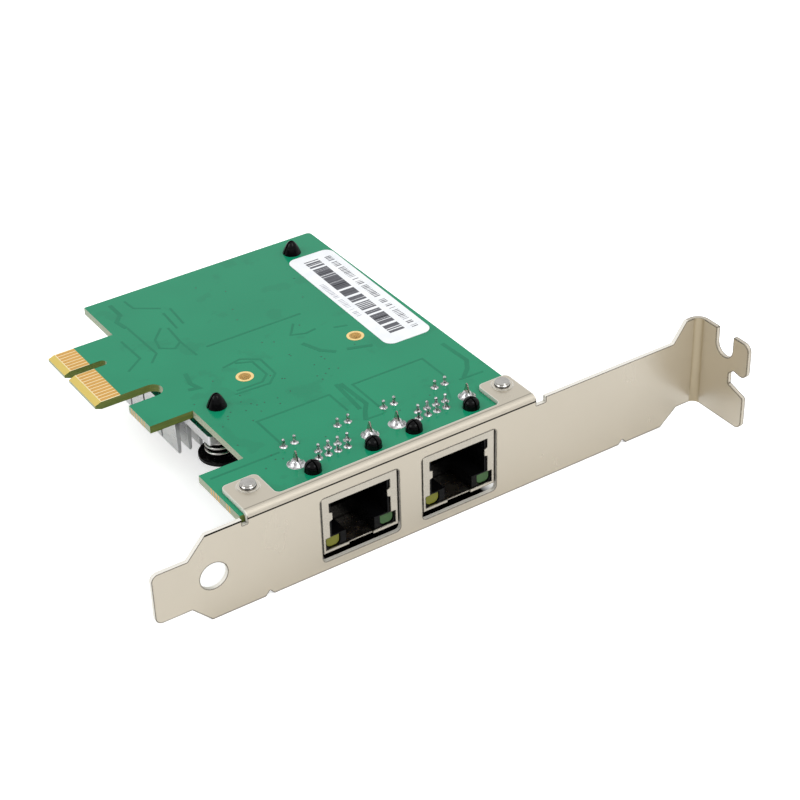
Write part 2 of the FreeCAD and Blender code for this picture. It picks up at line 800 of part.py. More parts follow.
# ---------------------------------------------------------------- ports
for port, centre in PORTS:
    shield = new_body(port + "_shield")
    side = new_sketch(shield, port + "_shell_side", "YZ_Plane",
                      centre + " - shell_half")
    outline(side, [
        ("shell_front", "-shell_low"),
        ("shell_back", "-shell_low"),
        ("shell_back", "shell_top"),
        ("step_back", "shell_top"),
        ("step_back", "-nose_top"),
        ("shell_front", "-nose_top"),
    ])
    pad(shield, port + "_shell_block", side, "shell_wide")
    hollow = new_sketch(shield, port + "_shell_hollow", "YZ_Plane",
                        centre + " + shell_half - shell_sheet")
    outline(hollow, [
        ("shell_front + shell_sheet", "-shell_low + shell_sheet"),
        ("shell_back - shell_sheet", "-shell_low + shell_sheet"),
        ("shell_back - shell_sheet", "0"),
        ("step_back + shell_sheet", "0"),
        ("step_back + shell_sheet", "-nose_top - shell_sheet"),
        ("shell_front + shell_sheet", "-nose_top - shell_sheet"),
    ])
    pocket(shield, port + "_shell_hollow_cut", hollow, "shell_wide - 2 * shell_sheet")
    mouth = new_sketch(shield, port + "_mouth", "XZ_Plane")
    left = centre + " - mouth_wide / 2"
    right = centre + " + mouth_wide / 2"
    outline(mouth, [
        (left, "-mouth_top"),
        (right, "-mouth_top"),
        (right, "-finger_tab_top"),
        (right + " - finger_tab_in", "-finger_tab_top - 0.25"),
        (right + " - finger_tab_in", "-finger_tab_low + 0.25"),
        (right, "-finger_tab_low"),
        (right, "-mouth_low"),
        (centre + " + lamp_window_wide / 2", "-mouth_low"),
        (centre + " + lamp_window_wide / 2", "-lip_top"),
        (centre + " + lip_gap / 2", "-lip_top"),
        (centre + " + lip_gap / 2", "-shell_low - 1"),
        (centre + " - lip_gap / 2", "-shell_low - 1"),
        (centre + " - lip_gap / 2", "-lip_top"),
        (centre + " - lamp_window_wide / 2", "-lip_top"),
        (centre + " - lamp_window_wide / 2", "-mouth_low"),
        (left, "-mouth_low"),
        (left, "-finger_tab_low"),
        (left + " + finger_tab_in", "-finger_tab_low + 0.25"),
        (left + " + finger_tab_in", "-finger_tab_top - 0.25"),
        (left, "-finger_tab_top"),
    ])
    pocket(shield, port + "_mouth_cut", mouth, "shell_front + 1.5 * shell_sheet")
    for side_name, sign in (("left", "-"), ("right", "+")):
        start = "%s %s tail_side - shell_sheet / 2" % (centre, sign)
        tab = new_sketch(shield, port + "_tail_" + side_name, "YZ_Plane", start)
        outline(tab, [
            ("tail_y - tail_span / 2", "shell_top - 1"),
            ("tail_y + tail_span / 2", "shell_top - 1"),
            ("tail_y + tail_span / 2", "tail_joint_high"),
            ("tail_y + tail_span / 8", "tail_up"),
            ("tail_y - tail_span / 8", "tail_up"),
            ("tail_y - tail_span / 2", "tail_joint_high"),
        ])
        pad(shield, port + "_tail_pad_" + side_name, tab, "shell_sheet")
        start = "%s %s blade_x - blade_wide / 2" % (centre, sign)
        blade = new_sketch(shield, port + "_blade_" + side_name, "YZ_Plane", start)
        outline(blade, [
            ("blade_root", "-shell_low + shell_sheet / 2"),
            ("blade_root", "-shell_low"),
            ("blade_bend", "-blade_low"),
            ("blade_tip", "-blade_low + 0.5"),
            ("blade_tip + 0.15", "-blade_low + 0.7"),
            ("blade_bend", "-blade_low + shell_sheet"),
            ("blade_root - 1", "-shell_low"),
            ("blade_root - 1", "-shell_low + shell_sheet / 2"),
        ])
        pad(shield, port + "_blade_pad_" + side_name, blade, "blade_wide")

    insert = new_body(port + "_housing")
    side = new_sketch(insert, port + "_insert_side", "YZ_Plane",
                      centre + " - insert_half")
    outline(side, [
        ("insert_front", "insert_low"),
        ("insert_back", "insert_low"),
        ("insert_back", "under"),
        ("step_back + shell_sheet + insert_gap", "under"),
        ("step_back + shell_sheet + insert_gap",
         "-nose_top - shell_sheet - insert_gap"),
        ("insert_front", "-nose_top - shell_sheet - insert_gap"),
    ])
    pad(insert, port + "_insert_block", side, "2 * insert_half")
    bay = new_sketch(insert, port + "_bay", "XZ_Plane")
    outline(bay, box_corners(centre + " - bay_wide / 2", centre + " + bay_wide / 2",
                             "-bay_low", "-mouth_top - insert_gap"))
    pocket(insert, port + "_bay_cut", bay, "bay_deep")
    latch = new_sketch(insert, port + "_latch", "XZ_Plane")
    outline(latch, box_corners(centre + " - latch_wide / 2",
                               centre + " + latch_wide / 2",
                               "-shell_low", "-bay_low + 0.5"))
    pocket(insert, port + "_latch_cut", latch, "bay_deep * 0.6")
    lamps = new_sketch(insert, port + "_lamp_ways", "XZ_Plane")
    for sign in ("-", "+"):
        middle = "%s %s lamp_x" % (centre, sign)
        outline(lamps, box_corners(middle + " - lamp_wide / 2 - insert_gap",
                                   middle + " + lamp_wide / 2 + insert_gap",
                                   "-lamp_low - insert_gap",
                                   "-lamp_flat + insert_gap"))
    pocket(insert, port + "_lamp_way_cut", lamps, "lead_y + lead_thick")
    round_edges(insert, port + "_lamp_way_round", "lamp_round + insert_gap",
                lambda edge: upright(edge, ALONG_Y)
                and near(edge.Vertexes[0].Z, way_floor))
    rises = new_sketch(insert, port + "_lead_rises", "XY_Plane", "under + 1")
    for lead in ("- lead_outer", "- lead_outer + lead_pitch",
                 "+ lead_outer - lead_pitch", "+ lead_outer"):
        outline(rises, box_corners(centre + lead + " - lead_thick * 0.7",
                                   centre + lead + " + lead_thick * 0.7",
                                   "lead_y - lead_thick", "lead_y + lead_thick"))
    pocket(insert, port + "_lead_rise_cut", rises, "1 + under + lamp_low - 0.6")
    comb = new_sketch(insert, port + "_comb", "XY_Plane", "under + 1")
    for step in range(8):
        middle = "%s + (%g) * wire_pitch" % (centre, step - 3.5)
        outline(comb, box_corners(middle + " - comb_slot / 2",
                                  middle + " + comb_slot / 2",
                                  "comb_near", "comb_far"))
    pocket(insert, port + "_comb_cut", comb, "mouth_top + under + 1.2")
    posts = new_sketch(insert, port + "_posts", "XY_Plane", "under")
    rings(posts, [(centre + " - post_span / 2", "post_y"),
                  (centre + " + post_span / 2", "post_y")],
          "post_bore - insert_gap")
    pad(insert, port + "_post_pad", posts, "post_up - under")
    post_top = number_of("post_up")
    round_edges(insert, port + "_post_dome", "post_dome",
                lambda edge: near(edge.BoundBox.ZLength, 0)
                and near(edge.Vertexes[0].Z, post_top))
    for way, long_half, wide_half in (("along", "post_split / 2", "post_bore"),
                                      ("across", "post_bore", "post_split / 2")):
        split = new_sketch(insert, "%s_post_split_%s" % (port, way), "XY_Plane",
                           "post_up")
        for sign in ("-", "+"):
            middle = "%s %s post_span / 2" % (centre, sign)
            outline(split, box_corners("%s - %s" % (middle, long_half),
                                       "%s + %s" % (middle, long_half),
                                       "post_y - " + wide_half,
                                       "post_y + " + wide_half))
        pocket(insert, "%s_post_cut_%s" % (port, way), split, "post_up * 0.9")

    wires = new_body(port + "_contacts")
    for row, first in (("row_near", -3.5), ("row_far", -2.5)):
        start = "%s + (%g) * wire_pitch - wire_thick / 2" % (centre, first)
        wire = new_sketch(wires, port + "_wire_" + row, "YZ_Plane", start)
        outline(wire, [
            (row + " - wire_thick / 2", "wire_up"),
            (row + " - wire_thick / 2", "wire_shelf"),
            ("wire_front", "wire_shelf"),
            ("wire_front", "-mouth_top - 0.3"),
            ("wire_end", "-wire_end_low"),
            ("wire_end + 0.1", "-wire_end_low + wire_thick"),
            ("wire_front + wire_thick", "-mouth_top - 0.05"),
            ("wire_front + wire_thick", "wire_shelf - wire_thick"),
            (row + " + wire_thick / 2", "wire_shelf - wire_thick"),
            (row + " + wire_thick / 2", "wire_up"),
        ])
        one = pad(wires, port + "_wire_pad_" + row, wire, "wire_thick")
        repeat(wires, port + "_wires_" + row, [one], "X_Axis",
               "6 * wire_pitch", "4")
    for number, lead in enumerate(("- lead_outer", "- lead_outer + lead_pitch",
                                   "+ lead_outer - lead_pitch", "+ lead_outer")):
        start = "%s %s - lead_thick / 2" % (centre, lead)
        bend = new_sketch(wires, "%s_lead_%d" % (port, number), "YZ_Plane", start)
        outline(bend, [
            ("lamp_front + lamp_long", "lamp_centre"),
            ("lead_y + lead_thick / 2", "lamp_centre"),
            ("lead_y + lead_thick / 2", "wire_up"),
            ("lead_y - lead_thick / 2", "wire_up"),
            ("lead_y - lead_thick / 2", "lamp_centre + lead_thick"),
            ("lamp_front + lamp_long", "lamp_centre + lead_thick"),
        ])
        pad(wires, "%s_lead_pad_%d" % (port, number), bend, "lead_thick")

    for colour, sign in (("yellow", "-"), ("green", "+")):
        lamp = new_body("%s_%s_led" % (port, colour))
        middle = "%s %s lamp_x" % (centre, sign)
        lens = new_sketch(lamp, lamp.Label + "_lens", "XZ_Plane",
                          "-lamp_front - lamp_long")
        outline(lens, box_corners(middle + " - lamp_wide / 2",
                                  middle + " + lamp_wide / 2",
                                  "-lamp_low", "-lamp_flat"))
        pad(lamp, lamp.Label + "_lens_pad", lens, "lamp_long")
        round_edges(lamp, lamp.Label + "_round", "lamp_round",
                    lambda edge: upright(edge, ALONG_Y)
                    and near(edge.Vertexes[0].Z, lens_floor))

# ---------------------------------------------------------------- solder joints
joints = new_body("pin_solder_joints")
JOINT = [
    ("0", "0"),
    ("joint_wide / 2", "0"),
    ("joint_wide * 0.37", "joint_high * 0.15"),
    ("joint_wide * 0.27", "joint_high * 0.45"),
    ("joint_neck / 2", "joint_high"),
    ("joint_bore / 2", "wire_up - joint_bore / 4"),
    ("joint_bore / 2", "wire_up"),
    ("joint_bore / 3", "wire_up + joint_cap * 0.75"),
    ("0", "wire_up + joint_cap"),
]
JOINT_ROWS = [
    ("near", "- 3.5 * wire_pitch", "row_near", "6 * wire_pitch", 4, "wire_thick"),
    ("far", "- 2.5 * wire_pitch", "row_far", "6 * wire_pitch", 4, "wire_thick"),
    ("left", "- lead_outer", "lead_y", "lead_pitch", 2, "lead_thick"),
    ("right", "+ lead_outer - lead_pitch", "lead_y", "lead_pitch", 2, "lead_thick"),
]
sockets = []
for port, centre in PORTS:
    for name, start, along, reach, count, thick_word in JOINT_ROWS:
        label = "%s_%s" % (port, name)
        one = turned(joints, label + "_joint", centre + start, along, JOINT)
        repeat(joints, label + "_joints", [one], "X_Axis", reach, str(count))
        for turn in range(count):
            across = "%s %s + %d * (%s) / %d" % (centre, start, turn, reach, count - 1)
            sockets.append((across, along, thick_word))
socket = new_sketch(joints, "joint_sockets", "XY_Plane")
for across, along, thick_word in sockets:
    outline(socket, box_corners(across + " - " + thick_word + " / 2",
                                across + " + " + thick_word + " / 2",
                                along + " - " + thick_word + " / 2",
                                along + " + " + thick_word + " / 2"))
pocket(joints, "joint_socket_cut", socket, "wire_up", back=True)

mounds = new_body("shield_solder_joints")
MOUND = [
    ("0", "0"),
    ("tail_joint_wide / 2", "0"),
    ("tail_joint_wide * 0.4", "tail_joint_high * 0.18"),
    ("tail_joint_wide * 0.3", "tail_joint_high * 0.55"),
    ("tail_joint_wide * 0.2", "tail_joint_high"),
    ("0", "tail_joint_high"),
]
tail_spots = []
for port, centre in PORTS:
    tail_spots.append((centre + " - tail_side", "tail_y"))
    tail_spots.append((centre + " + tail_side", "tail_y"))
for number, (across, along) in enumerate(tail_spots, start=1):
    turned(mounds, "tail_mound_%d" % number, across, along, MOUND)
slots = new_sketch(mounds, "tail_slots", "XY_Plane", "-1")
for across, along in tail_spots:
    outline(slots, box_corners(across + " - shell_sheet / 2",
                               across + " + shell_sheet / 2",
                               along + " - tail_span / 2",
                               along + " + tail_span / 2"))
pocket(mounds, "tail_slot_cut", slots, back=True)

# ---------------------------------------------------------------- heat sink
sink = new_body("heat_sink")
base = new_sketch(sink, "sink_base_plan", "XY_Plane", "sink_top")
outline(base, [
    ("sink_left", "sink_near"),
    ("sink_ear_left", "sink_near"),
    ("sink_ear_left", "sink_ear_end"),
    ("sink_ear_right", "sink_ear_end"),
    ("sink_ear_right", "sink_near"),
    ("sink_right", "sink_near"),
    ("sink_right", "sink_far"),
    ("2 * chip_x - sink_ear_left", "sink_far"),
    ("2 * chip_x - sink_ear_left", "2 * chip_y - sink_ear_end"),
    ("2 * chip_x - sink_ear_right", "2 * chip_y - sink_ear_end"),
    ("2 * chip_x - sink_ear_right", "sink_far"),
    ("sink_left", "sink_far"),
])
pad(sink, "sink_base_pad", base, "sink_base", back=True)
ear_ends = (number_of("sink_ear_end"),
            2 * number_of("chip_y") - number_of("sink_ear_end"))
round_edges(sink, "sink_ear_round_off", "sink_ear_round",
            lambda edge: upright(edge, ALONG_Z)
            and (near(edge.Vertexes[0].Y, ear_ends[0])
                 or near(edge.Vertexes[0].Y, ear_ends[1])))
fin = new_sketch(sink, "fin_section", "XZ_Plane", "-sink_far")
middle = "sink_left + fin_root / 2"
outline(fin, [
    (middle + " - fin_root / 2", "sink_under"),
    (middle + " - fin_tip / 2", "sink_under - fin_high + 0.35"),
    (middle + " - fin_tip / 4", "sink_under - fin_high"),
    (middle + " + fin_tip / 4", "sink_under - fin_high"),
    (middle + " + fin_tip / 2", "sink_under - fin_high + 0.35"),
    (middle + " + fin_root / 2", "sink_under"),
])
fin_pad = pad(sink, "fin_pad", fin, "sink_far - sink_near")
repeat(sink, "fin_row", [fin_pad], "X_Axis", "(fin_count - 1) * fin_pitch",
       "fin_count")
cuts = new_sketch(sink, "fin_cuts", "XY_Plane", "sink_under - fin_high - 1")
for turn in (-1, 0, 1):
    line = "sink_mid + (%d) * fin_cut_pitch" % turn
    outline(cuts, box_corners("sink_left - 1", "sink_right + 1",
                              line + " - fin_cut_wide / 2",
                              line + " + fin_cut_wide / 2"))
pocket(sink, "fin_cross_cut", cuts, "fin_high + 1", back=True)
pin_spots = [("pin_near_x", "pin_near_y"), ("pin_far_x", "pin_far_y")]
sink_holes = new_sketch(sink, "sink_holes", "XY_Plane")
rings(sink_holes, pin_spots, "pin_bore + 2 * pin_clear")
pocket(sink, "sink_hole_cut", sink_holes)

pins = new_body("push_pins")
PIN = [
    ("0", "head_top - pin_head_thick"),
    ("pin_head / 2 - 0.5", "head_top - pin_head_thick"),
    ("pin_head / 2", "head_top - pin_head_thick + 0.4"),
    ("pin_head / 2", "head_top"),
    ("pin_bore / 2", "head_top"),
    ("pin_bore / 2", "0"),
    ("pin_barb / 2", "0"),
    ("pin_barb * 0.48", "pin_tip * 0.1"),
    ("pin_barb * 0.39", "pin_tip * 0.42"),
    ("pin_barb * 0.27", "pin_tip * 0.74"),
    ("pin_barb * 0.17", "pin_tip * 0.92"),
    ("pin_barb * 0.08", "pin_tip"),
    ("0", "pin_tip"),
]
for number, (across, along) in enumerate(pin_spots, start=1):
    turned(pins, "pin_%d" % number, across, along, PIN)
kerf = new_sketch(pins, "pin_split", "XY_Plane", "pin_tip")
for across, along in pin_spots:
    outline(kerf, box_corners(across + " - pin_barb", across + " + pin_barb",
                              along + " - pin_kerf / 2", along + " + pin_kerf / 2"))
pocket(pins, "pin_split_cut", kerf, "pin_tip - under + 1")

springs = new_body("push_pin_springs")
for across, along in pin_spots:
    ring = new_sketch(springs, across + "_wire", "XZ_Plane", "-" + along)
    ring.setExpression("AttachmentOffset.Base.x", bind(across))
    rings(ring, [("spring_radius", "head_top + spring_wire / 2")], "spring_wire")
    coil = springs.newObject("PartDesign::AdditiveHelix", across + "_coil")
    coil.Profile = ring
    coil.ReferenceAxis = (ring, ["V_Axis"])
    coil.Mode = 0
    coil.setExpression("Height", bind("spring_long - spring_wire"))
    coil.setExpression("Pitch", bind("(spring_long - spring_wire) / spring_turns"))
    ring.Visibility = False
    doc.recompute()
    springs.Tip = coil

# ---------------------------------------------------------------- controller
chip = new_body("ethernet_controller")
carrier = new_sketch(chip, "chip_carrier_plan", "XY_Plane", "under")
outline(carrier, box_corners("chip_x - chip_wide / 2", "chip_x + chip_wide / 2",
                             "chip_y - chip_wide / 2", "chip_y + chip_wide / 2"))
pad(chip, "chip_carrier_pad", carrier, "chip_carrier", back=True)
cap = new_sketch(chip, "chip_cap_plan", "XY_Plane", "under - chip_carrier")
outline(cap, box_corners("chip_x - chip_cap_wide / 2", "chip_x + chip_cap_wide / 2",
                         "chip_y - chip_cap_wide / 2",
                         "chip_y + chip_cap_wide / 2"))
pad(chip, "chip_cap_pad", cap, "chip_high - chip_carrier", back=True)
cap_low = number_of("under") - number_of("chip_high")
round_edges(chip, "chip_cap_slope", "0.4",
            lambda edge: near(edge.Vertexes[0].Z, cap_low)
            and near(edge.BoundBox.ZLength, 0), "PartDesign::Chamfer")
gel = new_body("thermal_pad")
gel_plan = new_sketch(gel, "thermal_pad_plan", "XY_Plane", "under - chip_high")
outline(gel_plan, box_corners("chip_x - chip_cap_wide / 2 + 1",
                              "chip_x + chip_cap_wide / 2 - 1",
                              "chip_y - chip_cap_wide / 2 + 1",
                              "chip_y + chip_cap_wide / 2 - 1"))
pad(gel, "thermal_pad_sheet", gel_plan, "pad_thick", back=True)

# ---------------------------------------------------------------- magnetics
def package(body, name, places, wide, deep, high):
    """Moulded blocks that stand just off the board, with sloped lower edges."""
    plan = new_sketch(body, name + "_plan", "XY_Plane", "under - stand_off")
    for across, along in places:
        outline(plan, box_corners("%s - %s / 2" % (across, wide),
                                  "%s + %s / 2" % (across, wide),
                                  "%s - %s / 2" % (along, deep),
                                  "%s + %s / 2" % (along, deep)))
    pad(body, name + "_block", plan, high, back=True)
    low = number_of("under") - number_of("stand_off") - number_of(high)
    round_edges(body, name + "_slope", "mould_slope",
                lambda edge: near(edge.Vertexes[0].Z, low)
                and near(edge.BoundBox.ZLength, 0), "PartDesign::Chamfer")


def bent_leads(body, name, first, wide, wall, sign, drop, reach, count):
    """A row of leads bent from a package's wall down to a foot on the board."""
    back_sign = "+" if sign == "-" else "-"
    arm = "%s %s lead_arm" % (wall, sign)
    inner = "%s %s lead_sheet" % (arm, back_sign)
    toe = "%s %s lead_foot" % (arm, sign)
    foot = new_sketch(body, name, "YZ_Plane", "%s - %s / 2" % (first, wide))
    outline(foot, [
        (wall, "under - " + drop),
        (arm, "under - " + drop),
        (arm, "under - lead_sheet"),
        (toe, "under - lead_sheet"),
        (toe, "under"),
        (inner, "under"),
        (inner, "under - %s + lead_sheet" % drop),
        (wall, "under - %s + lead_sheet" % drop),
    ])
    one = pad(body, name + "_pad", foot, wide)
    if count != "1":
        repeat(body, name + "_row", [one], "X_Axis", reach, count)


modules = new_body("magnetics_modules")
package(modules, "module", [(centre, "module_y") for port, centre in PORTS],
        "module_wide", "module_deep", "module_high")
feet = new_body("magnetics_leads")
for port, centre in PORTS:
    for side_name, sign in (("near", "-"), ("far", "+")):
        bent_leads(feet, "%s_%s_leads" % (port, side_name),
                   centre + " - (lead_count - 1) * lead_step / 2", "lead_wide",
                   "module_y %s module_deep / 2" % sign, sign, "lead_drop",
                   "(lead_count - 1) * lead_step", "lead_count")

# ---------------------------------------------------------------- small parts
flash = new_body("flash_memory")
package(flash, "flash", [("flash_x", "flash_y")],
        "flash_wide", "flash_deep", "flash_high")
flash_feet = new_body("flash_leads")
for side_name, sign in (("near", "-"), ("far", "+")):
    bent_leads(flash_feet, "flash_%s_leads" % side_name,
               "flash_x - 1.5 * lead_step", "lead_wide",
               "flash_y %s flash_deep / 2" % sign, sign, "flash_high / 2",
               "3 * lead_step", "4")

regulators = new_body("voltage_regulators")
regulator_spots = ["regulator_first_x", "regulator_second_x"]
package(regulators, "regulator", [(spot, "regulator_y") for spot in regulator_spots],
        "regulator_wide", "regulator_deep", "regulator_high")
regulator_feet = new_body("regulator_leads")
for spot in regulator_spots:
    bent_leads(regulator_feet, spot + "_legs", spot + " - regulator_step",
               "regulator_leg", "regulator_y - regulator_deep / 2", "-",
               "regulator_high / 2", "2 * regulator_step", "3")
    bent_leads(regulator_feet, spot + "_tab", spot, "regulator_tab",
               "regulator_y + regulator_deep / 2", "+",
               "regulator_high / 2", "", "1")

crystal = new_body("crystal")
for name, rim, level, high in (
    ("foot", "crystal_rim", "under", "crystal_foot"),
    ("can", "0", "under - crystal_foot", "crystal_high - crystal_foot"),
):
    half = "(crystal_deep / 2 + %s)" % rim
    reach = "(crystal_wide - crystal_deep) / 2"
    plan = new_sketch(crystal, "crystal_%s_plan" % name, "XY_Plane", level)
    outline(plan, box_corners("crystal_x - " + reach, "crystal_x + " + reach,
                              "flash_y - " + half, "flash_y + " + half))
    pad(crystal, "crystal_%s_pad" % name, plan, high, back=True)
    rounds = new_sketch(crystal, "crystal_%s_ends" % name, "XY_Plane", level)
    rings(rounds, [("crystal_x - " + reach, "flash_y"),
                   ("crystal_x + " + reach, "flash_y")], "2 * " + half)
    pad(crystal, "crystal_%s_ends_pad" % name, rounds, high, back=True)
crystal_low = number_of("under") - number_of("crystal_high")
round_edges(crystal, "crystal_brow", "crystal_rim",
            lambda edge: near(edge.BoundBox.ZLength, 0)
            and near(edge.Vertexes[0].Z, crystal_low))

coils = new_body("power_inductors")
coil_spots = [("coil_first_x", "coil_y"), ("coil_second_x", "coil_y")]
for name, level in (("upper", "under"),
                    ("lower", "under - coil_high + coil_plate")):
    plate = new_sketch(coils, "coil_%s_plan" % name, "XY_Plane", level)
    for across, along in coil_spots:
        outline(plate, box_corners(across + " - coil_wide / 2",
                                   across + " + coil_wide / 2",
                                   along + " - coil_wide / 2",
                                   along + " + coil_wide / 2"))
    pad(coils, "coil_%s_plate" % name, plate, "coil_plate", back=True)
    if name == "upper":
        core = new_sketch(coils, "coil_core_plan", "XY_Plane", "under")
        rings(core, coil_spots, "coil_core")
        pad(coils, "coil_core_pad", core, "coil_high", back=True)
round_edges(coils, "coil_corners", "coil_corner",
            lambda edge: upright(edge, ALONG_Z), "PartDesign::Chamfer")
windings = new_body("inductor_windings")
turns = new_sketch(windings, "winding_plan", "XY_Plane", "under - coil_plate")
rings(turns, coil_spots, "coil_winding")
rings(turns, coil_spots, "coil_core")
pad(windings, "winding_pad", turns, "coil_high - 2 * coil_plate", back=True)

tantalums = new_body("tantalum_capacitors")
tantalum_spots = ["tantalum_first_x", "tantalum_second_x"]
package(tantalums, "tantalum", [(spot, "flash_y") for spot in tantalum_spots],
        "tantalum_wide", "tantalum_deep", "tantalum_high")
ends = new_body("chip_terminals")
for spot in tantalum_spots:
    for side_name, sign in (("left", "-"), ("right", "+")):
        wall = "%s %s tantalum_wide / 2" % (spot, sign)
        inner = "%s %s strap_reach" % (wall, "+" if sign == "-" else "-")
        strap = new_sketch(ends, "%s_%s_strap" % (spot, side_name), "XZ_Plane",
                           "-flash_y - strap_wide / 2")
        outline(strap, [
            (inner, "under"),
            ("%s %s stand_off" % (wall, sign), "under"),
            ("%s %s stand_off" % (wall, sign), "under - tantalum_high / 2"),
            (wall, "under - tantalum_high / 2"),
            (wall, "under - stand_off"),
            (inner, "under - stand_off"),
        ])
        pad(ends, "%s_%s_strap_pad" % (spot, side_name), strap, "strap_wide")

ceramics = new_body("ceramic_capacitors")
resistors = new_body("resistors")
CHIP_ROWS = [
    ("coupling", ceramics, "coupling_x", "coupling_y", "Y_Axis", "coupling_step", 9),
    ("decoupling_near", ceramics, "chip_x - 2.5 * decoupling_step",
     "chip_y - decoupling_off", "X_Axis", "decoupling_step", 6),
    ("decoupling_far", ceramics, "chip_x - 2.5 * decoupling_step",
     "chip_y + decoupling_off", "X_Axis", "decoupling_step", 6),
    ("resistor_near", resistors, "resistor_x", "flash_y - resistor_off",
     "X_Axis", "resistor_step", 8),
    ("resistor_far", resistors, "resistor_x", "flash_y + resistor_off",
     "X_Axis", "resistor_step", 8),
]
for name, body, across, along, axis, step, count in CHIP_ROWS:
    core_half = "(passive_long / 2 - passive_cap)"
    for piece, owner, inner, outer in (
        ("core", body, "-" + core_half, core_half),
        ("low_cap", ends, "-passive_long / 2", "-" + core_half),
        ("high_cap", ends, core_half, "passive_long / 2"),
    ):
        plan = new_sketch(owner, "%s_%s" % (name, piece), "XY_Plane", "under")
        if axis == "Y_Axis":
            outline(plan, box_corners("%s + %s" % (across, inner),
                                      "%s + %s" % (across, outer),
                                      along + " - passive_wide / 2",
                                      along + " + passive_wide / 2"))
        else:
            outline(plan, box_corners(across + " - passive_wide / 2",
                                      across + " + passive_wide / 2",
                                      "%s + %s" % (along, inner),
                                      "%s + %s" % (along, outer)))
        one = pad(owner, "%s_%s_pad" % (name, piece), plan, "passive_high", back=True)
        repeat(owner, "%s_%s_row" % (name, piece), [one], axis,
               "%d * %s" % (count - 1, step), str(count))

doc.recompute()

# ---------------------------------------------------------------- export
os.makedirs("parts", exist_ok=True)
for item in doc.Objects:
    if "Invalid" in item.State or "Error" in item.State:
        raise RuntimeError(item.Name + " did not build")
for item in doc.Objects:
    if item.TypeId != "PartDesign::Body":
        continue
    if item.Shape.isNull() or not item.Shape.isValid():
        raise RuntimeError(item.Label + " has no sound shape")
    item.Shape.exportStep("parts/%s.step" % item.Label)
    print(item.Label, len(item.Shape.Solids), round(item.Shape.Volume, 3))
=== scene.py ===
import math
import random

import bmesh
import bpy
from mathutils import Matrix, Vector


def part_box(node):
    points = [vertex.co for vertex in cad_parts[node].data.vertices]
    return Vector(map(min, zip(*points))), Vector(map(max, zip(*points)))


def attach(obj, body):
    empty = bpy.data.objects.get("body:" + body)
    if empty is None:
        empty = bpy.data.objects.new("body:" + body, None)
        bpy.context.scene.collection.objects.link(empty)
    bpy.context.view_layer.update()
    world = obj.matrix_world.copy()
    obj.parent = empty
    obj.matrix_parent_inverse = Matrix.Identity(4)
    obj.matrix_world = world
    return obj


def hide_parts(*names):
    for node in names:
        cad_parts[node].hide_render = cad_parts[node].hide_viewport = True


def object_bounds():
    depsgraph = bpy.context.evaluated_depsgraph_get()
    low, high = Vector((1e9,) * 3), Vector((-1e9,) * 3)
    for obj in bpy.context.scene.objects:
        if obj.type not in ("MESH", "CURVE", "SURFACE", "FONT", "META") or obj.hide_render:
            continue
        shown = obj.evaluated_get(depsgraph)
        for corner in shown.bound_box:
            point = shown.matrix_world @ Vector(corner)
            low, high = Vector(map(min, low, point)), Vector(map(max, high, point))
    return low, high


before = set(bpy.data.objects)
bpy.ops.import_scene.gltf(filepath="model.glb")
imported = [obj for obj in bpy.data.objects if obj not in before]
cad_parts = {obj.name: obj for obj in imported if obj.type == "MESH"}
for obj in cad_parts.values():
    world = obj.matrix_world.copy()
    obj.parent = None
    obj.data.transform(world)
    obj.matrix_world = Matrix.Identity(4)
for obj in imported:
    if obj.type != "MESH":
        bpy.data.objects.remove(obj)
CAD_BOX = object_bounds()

bl_info = {
    "name": "Network Card Dressing",
    "version": (1, 0, 0),
    "blender": (4, 5, 0),
    "location": "View3D > Sidebar > Network Card",
    "description": "Finishes, trim and stage for a dual-port network card",
    "category": "Object",
}

MM = 0.001
BOARD_LOW, BOARD_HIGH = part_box("circuit_board")
BRACKET_LOW, BRACKET_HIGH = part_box("bracket")

# Places on the card, in millimetres from its own corner: the body's left edge, the
# bracket's outer face and the board's solder side. First how far a thing stands out
# to the left of it, then places to the right, along the card and in height.
TONGUE_OUT = 13.9
FOOT_OUT = 9.1
LUG_OUT = 8.95
LACQUER_OUT = 8.5
LABEL_RIGHT = 52.9
EAR_RIGHT = 53.5
TAB_BEND = 86.0
TAB_START = 90.0
FLANGE_LINE = 1.35
LUG_FAR = 42.75
LABEL_FAR = 71.4
BOARD_FAR = 79.9
BOARD_MIDDLE = -0.785
BEND_LINE = -0.3
LABEL_TOP = 0.1
FLANGE_LEVEL = 0.2
CORNER = Vector((BOARD_LOW[0] + TONGUE_OUT * MM, BOARD_HIGH[1] - BOARD_FAR * MM,
                 BOARD_HIGH[2]))


def at(across, along, height=0.0):
    """A point of the card, in millimetres from its own corner, in the row frame."""
    return CORNER + Vector((across, along, height)) * MM


